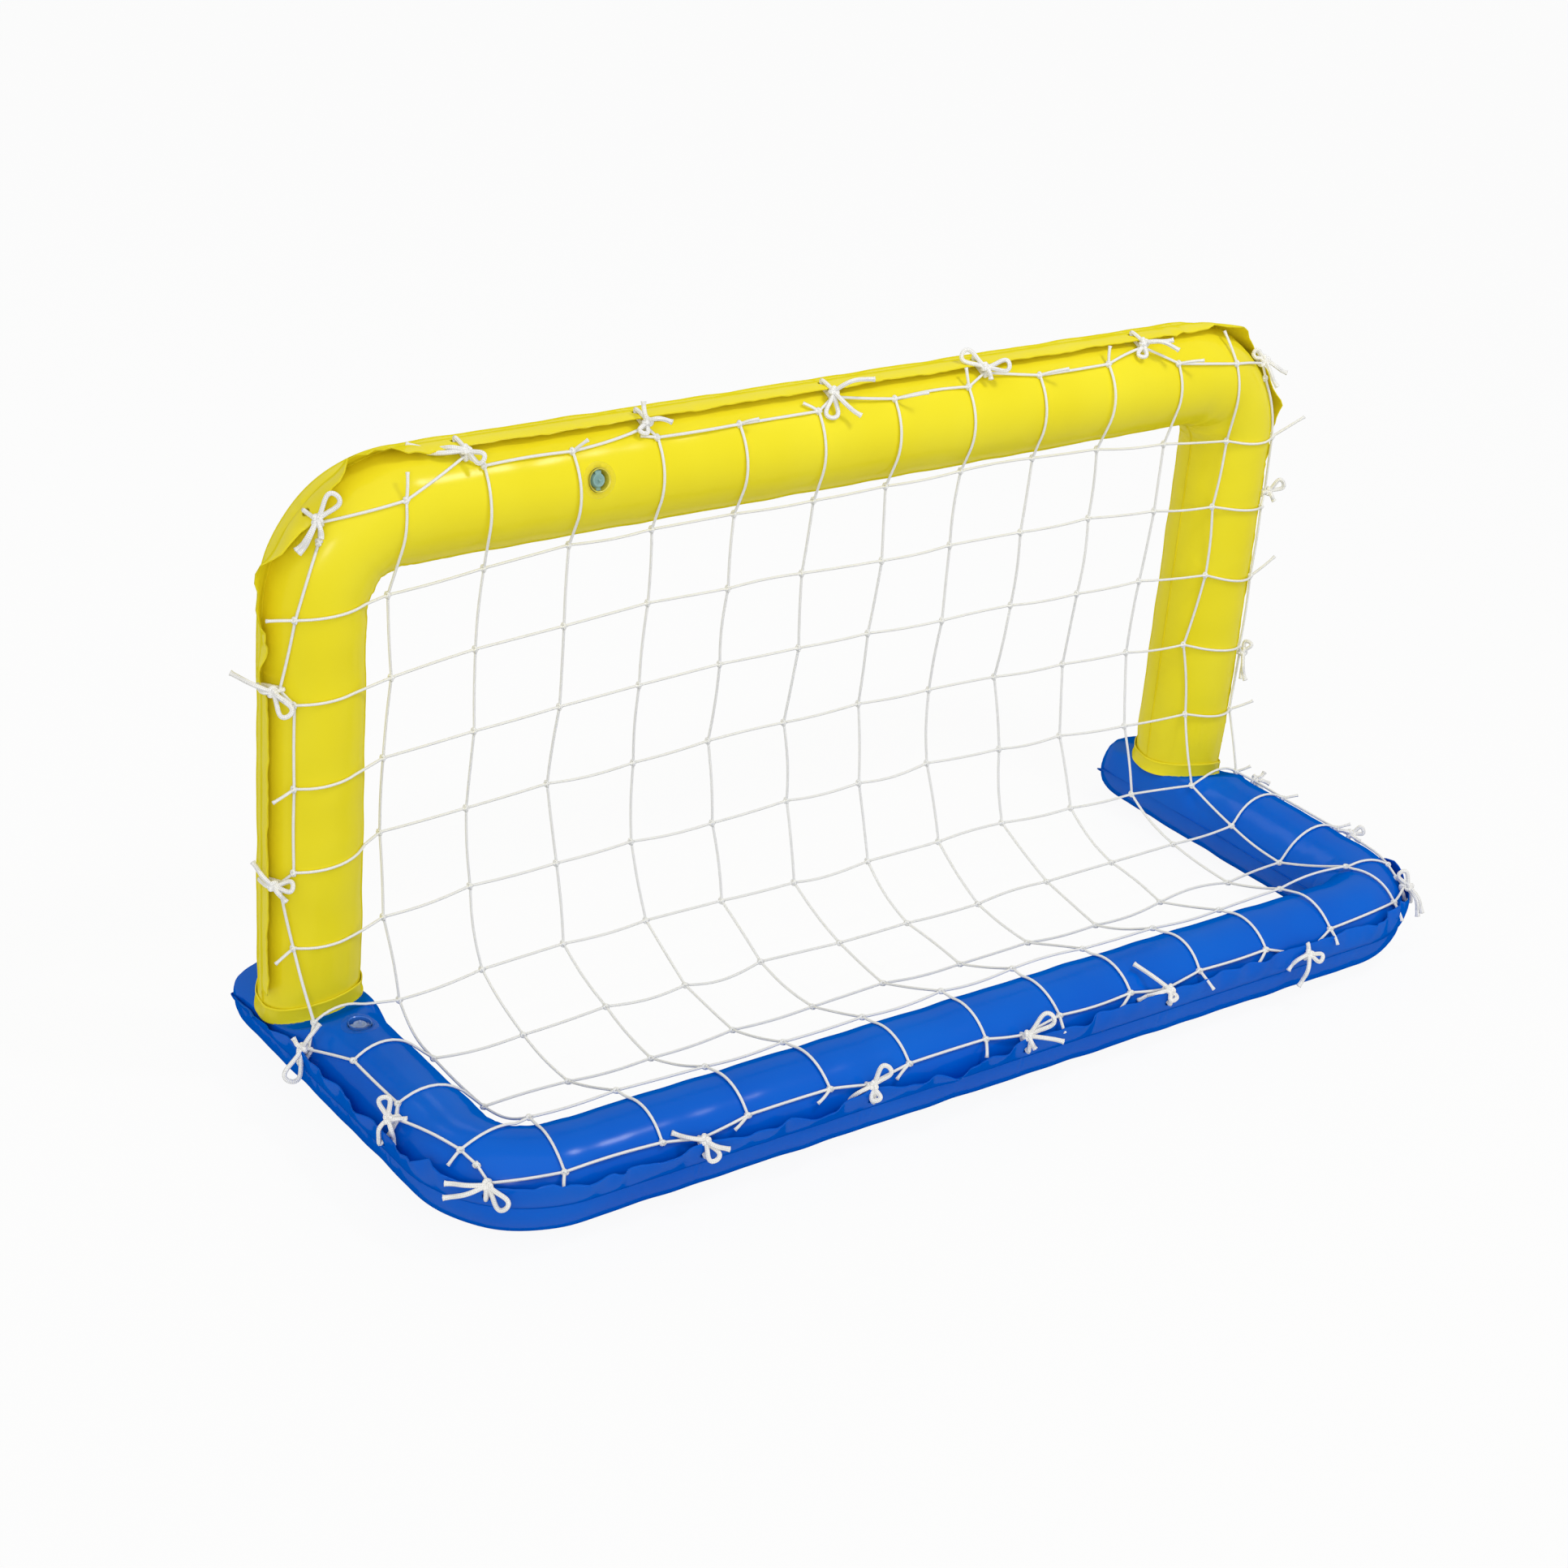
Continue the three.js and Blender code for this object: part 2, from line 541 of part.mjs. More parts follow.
function netGeometry() {
  const points = [];
  const faces = [];
  const quad = (a, b, c, d) => faces.push([a, b, c], [a, c, d]);
  const ringAt = (centre, side, deep) => RING.map(([s, d]) => points.push(
    centre.clone().addScaledVector(side, s * STRAND_HALF).addScaledVector(deep, d * STRAND_HALF)) - 1);
  const knots = nodes.map((line, column) => line.map((centre, row) => {
    const left = nodes[Math.max(column - 1, 0)][row];
    const right = nodes[Math.min(column + 1, COLUMNS - 1)][row];
    const above = line[Math.max(row - 1, 0)];
    const below = line[Math.min(row + 1, ROWS - 1)];
    const u = right.clone().sub(left).normalize();
    const raw = below.clone().sub(above);
    const v = raw.addScaledVector(u, -raw.dot(u)).normalize();
    return { centre, u, v, n: u.clone().cross(v), rings: {} };
  }));

  function strand(a, b, fromFace, toFace, sideName, onEdge) {
    const path = strandPoints(a.centre, b.centre, onEdge);
    const last = path.length - 1;
    const start = path[0].clone().add(path[1].clone().sub(path[0]).setLength(KNOT_REACH));
    const end = path[last].clone().add(path[last - 1].clone().sub(path[last]).setLength(KNOT_REACH));
    const stops = [start, ...path.slice(1, -1), end];
    const rings = stops.map((point, i) => {
      const before = i === 0 ? a.centre : stops[i - 1];
      const after = i === stops.length - 1 ? b.centre : stops[i + 1];
      const along = after.clone().sub(before).normalize();
      const share = i / (stops.length - 1);
      const side = a[sideName].clone().lerp(b[sideName], share);
      side.addScaledVector(along, -side.dot(along)).normalize();
      const deep = along.clone().cross(side).normalize();
      if (deep.dot(a.n.clone().lerp(b.n, share)) < 0) {
        deep.negate();
      }
      return ringAt(point, side, deep);
    });
    rings.slice(0, -1).forEach((ring, i) => {
      for (let j = 0; j < ring.length; j += 1) {
        const k = (j + 1) % ring.length;
        const corners = [ring[j], rings[i + 1][j], rings[i + 1][k], ring[k]];
        quad(...(sideName === 'v' ? corners.reverse() : corners));
      }
    });
    a.rings[fromFace] = rings[0];
    b.rings[toFace] = rings[rings.length - 1];
  }

  for (let column = 0; column < COLUMNS; column += 1) {
    for (let row = 0; row < ROWS; row += 1) {
      if (column < COLUMNS - 1) {
        strand(knots[column][row], knots[column + 1][row], 'right', 'left', 'v', row === 0 || row === ROWS - 1);
      }
      if (row < ROWS - 1) {
        strand(knots[column][row], knots[column][row + 1], 'below', 'above', 'u',
          column === 0 || column === COLUMNS - 1);
      }
    }
  }

  knots.flat().forEach(({ centre, u, v, n, rings }) => {
    const closing = {
      right: [u, 1, v, [0, 1, 2, 3]],
      left: [u, -1, v, [0, 3, 2, 1]],
      below: [v, 1, u, [0, 3, 2, 1]],
      above: [v, -1, u, [0, 1, 2, 3]],
    };
    Object.entries(closing).forEach(([name, [direction, sign, side, order]]) => {
      if (!rings[name]) {
        rings[name] = ringAt(centre.clone().addScaledVector(direction, sign * KNOT_REACH), side, n);
        quad(...order.map((i) => rings[name][i]));
      }
    });
    const { right, left, below, above } = rings;
    const front = [right[1], right[0], below[0], below[1], left[0], left[1], above[1], above[0]];
    const back = [right[2], right[3], below[3], below[2], left[3], left[2], above[2], above[3]];
    const crown = points.push(centre.clone().addScaledVector(n, KNOT_DEPTH)) - 1;
    const foot = points.push(centre.clone().addScaledVector(n, -KNOT_DEPTH)) - 1;
    front.forEach((point, i) => {
      const next = (i + 1) % front.length;
      faces.push([crown, point, front[next]], [foot, back[next], back[i]]);
      if (i % 2 === 1) {
        quad(front[next], point, back[i], back[next]);
      }
    });
  });
  return closedSkin(points, faces);
}

// Ties.
// Where an edge strand of the net passes through the plane of a tie, in that plane's own directions.
function strandInPlane(place) {
  const across = place.out.clone().cross(place.lean).normalize();
  const lines = [];
  for (let i = 0; i < COLUMNS - 1; i += 1) {
    lines.push([nodes[i][0], nodes[i + 1][0]], [nodes[i][ROWS - 1], nodes[i + 1][ROWS - 1]]);
  }
  for (let i = 0; i < ROWS - 1; i += 1) {
    lines.push([nodes[0][i], nodes[0][i + 1]], [nodes[COLUMNS - 1][i], nodes[COLUMNS - 1][i + 1]]);
  }
  let best = null;
  lines.forEach(([from, to]) => {
    const path = strandPoints(from, to, true);
    path.slice(0, -1).forEach((start, i) => {
      const run = path[i + 1].clone().sub(start);
      const share = place.centre.clone().sub(start).dot(across) / run.dot(across);
      if (share >= 0 && share <= 1) {
        const point = start.clone().addScaledVector(run, share).sub(place.centre);
        const found = {
          n: point.dot(place.out), b: point.dot(place.lean), slope: Math.abs(run.normalize().dot(across)),
        };
        if (!best || point.length() < Math.hypot(best.n, best.b)) {
          best = found;
        }
      }
    });
  });
  return best;
}

// A loop through the flap's hole, round its edge and round the net's edge strand, with a bow on the outside.
// X is the outward normal, Y leans to the net's side and Z runs along the seam.
function tieSolid(place) {
  const strand = strandInPlane(place);
  const along = flat(Math.cos(place.angle), Math.sin(place.angle));
  const over = flat(-Math.sin(place.angle), Math.cos(place.angle));
  const root = flat(place.radius, 0);
  const hole = root.clone().addScaledVector(along, FLAP_WIDTH * HOLE_SHARE);
  const edge = root.clone().addScaledVector(along, FLAP_WIDTH + TIE_SLACK + TIE_HALF);
  const offFlap = GAP / 2 + FILM + TIE_SLACK + TIE_HALF;
  const offStrand = STRAND_CORNER / strand.slope + TIE_SLACK + TIE_HALF;
  const least = place.radius + TIE_SLACK + TIE_HALF;
  const middle = flat(strand.n, strand.b);
  const outwards = middle.clone().normalize();
  const onwards = flat(-outwards.y, outwards.x);
  const nearStrand = (out, on) => {
    const point = middle.clone().addScaledVector(outwards, out * offStrand);
    return point.setLength(Math.max(point.length(), least)).addScaledVector(onwards, on * offStrand);
  };
  const inside = hole.clone().addScaledVector(over, offFlap);
  const under = nearStrand(-1, 0);
  const between = inside.clone().lerp(under, 1 / 2);
  between.setLength(Math.max(between.length(), least / Math.cos(inside.angleTo(under) / 4)));
  const loop = [
    hole.clone().addScaledVector(over, -offFlap),
    inside,
    between,
    under,
    nearStrand(-1, 1),
    nearStrand(1, 1),
    edge.clone().addScaledVector(over, offFlap),
    edge.clone().addScaledVector(over, -offFlap),
  ].map((p) => vec(p.x, p.y, 0));
  const knot = loop[5].clone().lerp(loop[6], 1 / 2);
  const rise = knot.clone().normalize();
  const side = vec(0, 0, 1);
  const across = side.clone().cross(rise).normalize();
  const tip = knot.clone().addScaledVector(side, BOW_LENGTH).addScaledVector(rise, BOW_RISE);
  const bow = [
    knot,
    tip.clone().addScaledVector(across, BOW_SPREAD),
    tip.clone().addScaledVector(across, -BOW_SPREAD),
  ];
  const facing = tip.clone().sub(knot).cross(across).normalize();
  const tail = [knot, knot.clone().addScaledVector(side, -TAIL_LENGTH).addScaledVector(rise, TAIL_RISE)];
  return [
    flatCord(loop, side, TIE_HALF, true),
    flatCord(bow, facing, TIE_HALF, true),
    flatCord(tail, across, TIE_HALF, false),
  ].map(solidOf).reduce((all, piece) => all.add(piece));
}

// Valves.
// Each valve is made along its own axis, Z = 0 on the film, and placed by `seat`.
function lathe(profile) {
  return new THREE.LatheGeometry(profile.map(([r, z]) => flat(r, z)), VALVE_FACETS).rotateX(Math.PI / 2);
}

const SOCKET_OUTER = VALVE_SOCKET_RADIUS + VALVE_SOCKET_WALL;
const FLOOR_TOP = -VALVE_SOCKET_DEPTH;
const FLOOR_BOTTOM = FLOOR_TOP - VALVE_FLOOR_WALL;
const RIM_TOP = FLOOR_BOTTOM - GAP - STEM_TRAVEL;
const STEM_BOTTOM = RIM_TOP - STEM_RIM_WALL;
const CHECK_TOP = STEM_BOTTOM - GAP;

// The flange follows the tube, so it is cut from a cylinder wall whose axis runs along the tube.
function valveBody(tubeRadius) {
  const wall = (radius) => solidOf(cylinderBetween(
    vec(-tubeRadius, 0, -tubeRadius), vec(tubeRadius, 0, -tubeRadius), radius, 4 * HALF_TUBE_FACETS));
  const outer = tubeRadius + GAP + VALVE_FLANGE_WALL;
  const disc = solidOf(cylinderBetween(
    vec(0, 0, -tubeRadius / 2), vec(0, 0, tubeRadius), VALVE_FLANGE_RADIUS, 2 * VALVE_FACETS));
  const bore = solidOf(cylinderBetween(
    vec(0, 0, FLOOR_TOP), vec(0, 0, tubeRadius), VALVE_SOCKET_RADIUS, VALVE_FACETS));
  const flange = disc.intersect(wall(outer)).subtract(wall(tubeRadius + GAP));
  const socket = solidOf(cylinderBetween(
    vec(0, 0, FLOOR_BOTTOM), vec(0, 0, tubeRadius), SOCKET_OUTER, VALVE_FACETS)).intersect(wall(outer));
  const passage = solidOf(cylinderBetween(
    vec(0, 0, FLOOR_BOTTOM - CUT_OVERRUN), vec(0, 0, FLOOR_TOP + CUT_OVERRUN), STEM_RADIUS + STEM_PLAY,
    VALVE_FACETS));
  return flange.add(socket).subtract(bore).subtract(passage);
}

function valveStem() {
  return lathe([
    [STEM_BORE_RADIUS, STEM_BOTTOM], [STEM_RIM_RADIUS, STEM_BOTTOM], [STEM_RIM_RADIUS, RIM_TOP],
    [STEM_RADIUS, RIM_TOP], [STEM_RADIUS, -STEM_SINK], [STEM_BORE_RADIUS, -STEM_SINK],
    [STEM_BORE_RADIUS, STEM_BOTTOM],
  ]);
}

function valvePlug() {
  const seat = -STEM_SINK + GAP;
  const top = seat + PLUG_HEAD_WALL;
  const shank = STEM_BORE_RADIUS - PLUG_PLAY;
  return lathe([
    [0, seat - PLUG_SHANK_LENGTH], [shank, seat - PLUG_SHANK_LENGTH], [shank, seat],
    [PLUG_HEAD_RADIUS, seat], [PLUG_HEAD_RADIUS, top], [PLUG_GRIP_RADIUS, top],
    [PLUG_GRIP_RADIUS, top + PLUG_GRIP_HEIGHT], [0, top + PLUG_GRIP_HEIGHT],
  ]);
}

// The check disc with its hinge ear, which lies beside the stem's bore.
function valveCheck() {
  const disc = solidOf(cylinderBetween(
    vec(0, 0, CHECK_TOP - CHECK_WALL), vec(0, 0, CHECK_TOP), CHECK_RADIUS, VALVE_FACETS));
  const ear = new THREE.BoxGeometry(2 * CHECK_EAR, 2 * CHECK_EAR, CHECK_WALL);
  ear.translate(CHECK_RADIUS, 0, CHECK_TOP - CHECK_WALL / 2);
  return disc.add(solidOf(ear));
}

// A frame on a tube's film: +Z away from the film, X along the tube.
function valveSeat(place, turn) {
  const outward = roundTube(place, turn, 1).sub(place.centre).normalize();
  const along = place.out.clone().cross(place.lean).normalize();
  const third = outward.clone().cross(along);
  const basis = new THREE.Matrix4().makeBasis(along, third, outward);
  basis.setPosition(place.centre.clone().addScaledVector(outward, place.radius));
  return basis;
}

// Assembly.
const vinylYellow = new THREE.MeshStandardMaterial({ color: '#ebdc2d', roughness: 0.28, metalness: 0 });
const vinylBlue = new THREE.MeshStandardMaterial({ color: '#005fd2', roughness: 0.28, metalness: 0 });
const twine = new THREE.MeshStandardMaterial({ color: '#f2f2f0', roughness: 0.85, metalness: 0 });
const tieCord = new THREE.MeshStandardMaterial({ color: '#f6f6f4', roughness: 0.8, metalness: 0 });
const clearVinyl = new THREE.MeshStandardMaterial({ color: '#9fd2c8', roughness: 0.2, metalness: 0 });

const goal = new THREE.Group();

function addPiece(name, solid, material, parent = goal) {
  const mesh = new THREE.Mesh(solid.isBufferGeometry ? solid : geometryOf(solid), material);
  mesh.name = name;
  parent.add(mesh);
  return mesh;
}

const barValvePlace = seamPlace(archPath, vec(HALF_SPAN * BAR_VALVE_SHARE, 0, BAR_HEIGHT));
const legValvePlace = seamPlace(basePath, vec(-HALF_SPAN, -BACK_REACH * LEG_VALVE_SHARE, AXIS_HEIGHT));
const barValveSeat = valveSeat(barValvePlace, BAR_VALVE_ANGLE * DEGREE);
const legValveSeat = valveSeat(legValvePlace, Math.PI / 2);

const tiePoints = [
  ...BAR_TIE_SHARES.map((share) => [archPath, vec(HALF_SPAN * share, 0, BAR_HEIGHT)]),
  [archPath, mirrored(ARCH_CORNER_POINT, 1)],
  ...POST_TIE_SHARES.map((share) => [archPath, vec(HALF_SPAN, 0, BAR_HEIGHT * share)]),
  ...LEG_TIE_SHARES.map((share) => [basePath, vec(HALF_SPAN, -BACK_REACH * share, AXIS_HEIGHT)]),
  [basePath, mirrored(BASE_CORNER_POINT, 1)],
  ...BACK_TIE_SHARES.map((share) => [basePath, vec(-HALF_SPAN * share, -BACK_REACH, AXIS_HEIGHT)]),
  [basePath, mirrored(BASE_CORNER_POINT, -1)],
  ...LEG_TIE_SHARES.map((share) => [basePath, vec(-HALF_SPAN, -BACK_REACH * share, AXIS_HEIGHT)]),
  ...POST_TIE_SHARES.map((share) => [archPath, vec(-HALF_SPAN, 0, BAR_HEIGHT * share)]),
  [archPath, mirrored(ARCH_CORNER_POINT, -1)],
];
const tiePlaces = tiePoints.map(([stations, point]) => ({ stations, ...seamPlace(stations, point) }));

function holeCutters(stations) {
  return tiePlaces.filter((place) => place.stations === stations).map((place) => {
    const along = place.out.clone().multiplyScalar(Math.cos(place.angle))
      .addScaledVector(place.lean, Math.sin(place.angle));
    const over = place.out.clone().multiplyScalar(-Math.sin(place.angle))
      .addScaledVector(place.lean, Math.cos(place.angle));
    const centre = place.centre.clone().addScaledVector(place.out, place.radius)
      .addScaledVector(along, FLAP_WIDTH * HOLE_SHARE);
    const reach = FILM + TIE_HALF;
    return solidOf(cylinderBetween(
      centre.clone().addScaledVector(over, -reach), centre.clone().addScaledVector(over, reach), HOLE_RADIUS,
      HOLE_FACETS));
  });
}

function valveCutter(seat) {
  const cutter = cylinderBetween(
    vec(0, 0, -CUT_OVERRUN), vec(0, 0, CUT_OVERRUN), SOCKET_OUTER + VALVE_HOLE_PLAY, VALVE_FACETS);
  return solidOf(cutter.applyMatrix4(seat));
}

const cutFrom = (solid, cutters) => cutters.reduce((left, cutter) => left.subtract(cutter), solid);

// base chamber
const baseHoles = holeCutters(basePath);
const baseUpper = cutFrom(solidOf(filmSheet(baseStations, 1)), [...baseHoles, valveCutter(legValveSeat)]);
const baseLower = cutFrom(solidOf(filmSheet(baseStations, -1)), baseHoles);
addPiece('base_upper_sheet', baseUpper, vinylBlue);
addPiece('base_lower_sheet', baseLower, vinylBlue);

// arch chamber, saddled on the legs
const legSaddles = [-1, 1].map((sign) => solidOf(cylinderBetween(
  vec(HALF_SPAN * sign, -BACK_REACH / 2, AXIS_HEIGHT), vec(HALF_SPAN * sign, FRONT_REACH, AXIS_HEIGHT),
  BASE_RADIUS + GAP, 4 * HALF_TUBE_FACETS)));
const archHoles = holeCutters(archPath);
const archBack = cutFrom(
  solidOf(filmSheet(archStations, 1)), [...archHoles, ...legSaddles, valveCutter(barValveSeat)]);
const archFront = cutFrom(solidOf(filmSheet(archStations, -1)), [...archHoles, ...legSaddles]);
addPiece('arch_back_sheet', archBack, vinylYellow);
addPiece('arch_front_sheet', archFront, vinylYellow);

// foot collars: a band round each post's foot, slotted from above for the flap and the lip
function footCollar(sign) {
  const inner = POST_RADIUS + TRIMMED_FLAP + GAP;
  const outer = inner + COLLAR_WALL;
  const corner = 1 / Math.cos(Math.PI / COLLAR_FACETS);
  const axis = (z) => vec(HALF_SPAN * sign, 0, z);
  const tube = (radius, extra) => solidOf(cylinderBetween(
    axis(FOOT_END_HEIGHT - extra), axis(COLLAR_TOP_HEIGHT + extra), radius * corner, COLLAR_FACETS));
  const slot = new THREE.BoxGeometry(2 * (outer + CUT_OVERRUN), COLLAR_SLOT_WIDTH, COLLAR_TOP_HEIGHT);
  slot.translate(HALF_SPAN * sign, 0, FLAP_END_HEIGHT - FLAP_TRIM_STEP - GAP + COLLAR_TOP_HEIGHT / 2);
  return cutFrom(tube(outer, 0), [tube(inner, CUT_OVERRUN), solidOf(slot), ...legSaddles]);
}
addPiece('left_foot_collar', footCollar(-1), vinylYellow);
addPiece('right_foot_collar', footCollar(1), vinylYellow);

// valves
function addValve(prefix, seat, tubeRadius) {
  const mount = new THREE.Group();
  mount.applyMatrix4(seat);
  goal.add(mount);
  addPiece(`${prefix}_valve_body`, valveBody(tubeRadius), clearVinyl, mount);
  addPiece(`${prefix}_valve_stem`, valveStem(), clearVinyl, mount);
  addPiece(`${prefix}_valve_plug`, valvePlug(), clearVinyl, mount);
  addPiece(`${prefix}_valve_check`, valveCheck(), clearVinyl, mount);
}
addValve('arch', barValveSeat, barValvePlace.radius);
addValve('base', legValveSeat, legValvePlace.radius);

// net and ties
addPiece('net', netGeometry(), twine);
tiePlaces.forEach((place, i) => {
  const mesh = addPiece(`tie_${String(i + 1).padStart(2, '0')}`, tieSolid(place), tieCord);
  const across = place.out.clone().cross(place.lean).normalize();
  mesh.quaternion.setFromRotationMatrix(new THREE.Matrix4().makeBasis(place.out, place.lean, across));
  mesh.position.copy(place.centre);
});

// the origin goes under the middle of the goal
goal.updateMatrixWorld(true);
const box = new THREE.Box3().setFromObject(goal, true);
goal.position.y = -(box.min.y + box.max.y) / 2;

export default goal;
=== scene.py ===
"""The water polo goal: two welded film air chambers, foot collars, valves, a knotted net and its ties."""

import itertools
import logging
import math
from dataclasses import dataclass, field, replace
from enum import Enum
from typing import Any, ClassVar

import bpy
import numpy as np
from mathutils import Matrix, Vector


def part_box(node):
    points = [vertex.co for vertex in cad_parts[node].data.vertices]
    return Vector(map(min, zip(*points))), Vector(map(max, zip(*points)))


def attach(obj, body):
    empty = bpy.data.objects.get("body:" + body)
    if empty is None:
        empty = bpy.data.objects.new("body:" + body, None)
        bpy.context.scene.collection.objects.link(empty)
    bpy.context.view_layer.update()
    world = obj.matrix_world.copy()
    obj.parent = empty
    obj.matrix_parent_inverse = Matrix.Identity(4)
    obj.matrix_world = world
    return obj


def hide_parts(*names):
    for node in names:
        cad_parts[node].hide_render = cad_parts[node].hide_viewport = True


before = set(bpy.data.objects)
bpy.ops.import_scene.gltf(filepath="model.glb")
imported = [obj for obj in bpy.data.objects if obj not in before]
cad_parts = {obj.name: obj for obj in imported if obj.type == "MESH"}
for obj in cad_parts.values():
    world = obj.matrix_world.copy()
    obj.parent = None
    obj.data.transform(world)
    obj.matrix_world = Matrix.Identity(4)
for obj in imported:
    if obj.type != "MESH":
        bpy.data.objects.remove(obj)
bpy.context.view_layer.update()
LOG = logging.getLogger("water_polo_goal")
MM = 0.001
UP = np.array([0.0, 0.0, 1.0])
MIX_FACTOR, MIX_FIRST, MIX_LAST, MIX_RESULT = 0, 6, 7, 2  # sockets of a mix node, whose names repeat


def post_plane() -> float:
    """Y of the post axes, which is the middle of a foot collar."""
    low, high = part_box("left_foot_collar")
    return (low[1] + high[1]) / 2


POST_Y = post_plane()


# Finishes


def linear(colour: str) -> tuple[float, float, float, float]:
    """Turns a colour into the numbers that a shader takes.

    Args:
        colour: sRGB hex value such as #ebdc2d.

    Returns:
        Linear red, green, blue and an alpha of 1.
    """
    parts = [int(colour[i : i + 2], 16) / 255 for i in (1, 3, 5)]
    red, green, blue = [p / 12.92 if p <= 0.04045 else ((p + 0.055) / 1.055) ** 2.4 for p in parts]
    return (red, green, blue, 1.0)


def add_node(
    tree: Any,
    kind: str,
    values: dict | None = None,
    links: dict | None = None,
    stops: tuple = (),
    **settings: Any,
) -> Any:
    """Adds one node to a node tree.

    Args:
        tree: the node tree.
        kind: the node's type name.
        values: what its unlinked inputs are set to, by input name or number.
        links: the output that feeds an input, by input name or number.
        stops: pairs of position and brightness, for a grey ramp.
        settings: the node's own properties.

    Returns:
        The new node.
    """
    node = tree.nodes.new(kind)
    for name, setting in settings.items():
        setattr(node, name, setting)
    for key, value in (values or {}).items():
        node.inputs[key].default_value = value
    for key, output in (links or {}).items():
        tree.links.new(output, node.inputs[key])
    for i, (position, value) in enumerate(stops):
        node.color_ramp.elements[i].position = position
        node.color_ramp.elements[i].color = (value, value, value, 1.0)
    return node


def new_material(name: str) -> tuple[Any, Any, Any]:
    """Makes an empty material.

    Args:
        name: the material's name.

    Returns:
        The material, its node tree and the surface input of its output.
    """
    material = bpy.data.materials.new(name)
    material.use_nodes = True
    tree = material.node_tree
    tree.nodes.clear()
    output = add_node(tree, "ShaderNodeOutputMaterial")
    return material, tree, output.inputs["Surface"]


def add_seen_rays(tree: Any) -> Any:
    """Adds the test for camera, glossy and transmission rays.

    Args:
        tree: the node tree.

    Returns:
        An output that is 1 for them and 0 for the rest.
    """
    path = add_node(tree, "ShaderNodeLightPath")
    total = path.outputs["Is Camera Ray"]
    for name in ("Is Glossy Ray", "Is Transmission Ray"):
        node = add_node(
            tree, "ShaderNodeMath", links={0: total, 1: path.outputs[name]}, operation="ADD", use_clamp=True
        )
        total = node.outputs[0]
    return total


@dataclass(frozen=True)
class CalenderedFilm:
    """Flexible PVC film, rolled smooth between calender rolls and welded by high frequency.

    It is glossy and evenly coloured. Its shine breaks up over slow swells, and the weld bands are darker,
    because the hot tool pressed both layers into one.
    """

    name: str
    colour: str
    cloud: str
    weld: str
    roughness: float = 0.17
    index: float = 1.53
    specular: float = 0.115
    slanting: float = 0.0  # the fine grain breaks up the shine seen at a slant
    fade: tuple = (0.2, 0.72)  # how slanting the view is where the shine starts and stops fading
    swell_size: float = 34.0  # mm between the slow swells of inflated film
    skin_size: float = 1.6  # mm; the roll's own grain is 0.1 mm and is drawn coarser so that it shows
    scuff_size: float = 1000 / 42.0  # mm, about 24, between scuffed patches
    patches: tuple = ((0.35, 0.0), (0.7, 1.0))  # where the clouds of the film's colour start and end

    def make(self) -> Any:
        """Builds the material and returns it."""
        material, tree, surface = new_material(self.name)
        uv = add_node(tree, "ShaderNodeUVMap", uv_map="film").outputs["UV"]
        noise, scale = "ShaderNodeTexNoise", "ShaderNodeMapRange"
        clouds = add_node(tree, noise, {"Scale": 250 / self.swell_size, "Detail": 2.0}, {"Vector": uv})
        swell = add_node(tree, noise, {"Scale": 1000 / self.swell_size, "Detail": 1.0}, {"Vector": uv})
        skin = add_node(tree, noise, {"Scale": 1000 / self.skin_size, "Detail": 2.0}, {"Vector": uv})
        scuffs = add_node(
            tree, noise, {"Scale": 1000 / self.scuff_size, "Detail": 3.0, "Roughness": 0.6}, {"Vector": uv}
        )
        patches = add_node(
            tree, "ShaderNodeValToRGB", links={"Fac": clouds.outputs["Fac"]}, stops=self.patches
        )
        cloudy = add_node(
            tree,
            "ShaderNodeMix",
            {MIX_FIRST: linear(self.colour), MIX_LAST: linear(self.cloud)},
            {MIX_FACTOR: patches.outputs["Color"]},
            data_type="RGBA",
        )
        weld = add_node(tree, "ShaderNodeAttribute", attribute_name="weld", attribute_type="GEOMETRY")
        colour = add_node(
            tree,
            "ShaderNodeMix",
            {MIX_LAST: linear(self.weld)},
            {MIX_FACTOR: weld.outputs["Fac"], MIX_FIRST: cloudy.outputs[MIX_RESULT]},
            data_type="RGBA",
        )
        rough = add_node(
            tree,
            scale,
            {"To Min": self.roughness - 0.03, "To Max": self.roughness + 0.07},
            {"Value": scuffs.outputs["Fac"]},
        )
        swelling = add_node(
            tree, "ShaderNodeBump", {"Strength": 0.22, "Distance": 0.0012}, {"Height": swell.outputs["Fac"]}
        )
        bump = add_node(
            tree,
            "ShaderNodeBump",
            {"Strength": 0.1, "Distance": 0.00006},
            {"Height": skin.outputs["Fac"], "Normal": swelling.outputs["Normal"]},
        )
        slant = add_node(tree, "ShaderNodeLayerWeight", {"Blend": 0.4}, {"Normal": bump.outputs["Normal"]})
        start, stop = self.fade
        shine = add_node(
            tree,
            scale,
            {"From Min": start, "From Max": stop, "To Min": self.specular, "To Max": self.slanting},
            {"Value": slant.outputs["Facing"]},
        )
        shader = add_node(
            tree,
            "ShaderNodeBsdfPrincipled",
            {"IOR": self.index},
            {
                "Specular IOR Level": shine.outputs["Result"],
                "Base Color": colour.outputs[MIX_RESULT],
                "Roughness": rough.outputs["Result"],
                "Normal": bump.outputs["Normal"],
            },
        )
        tree.links.new(shader.outputs["BSDF"], surface)
        return material


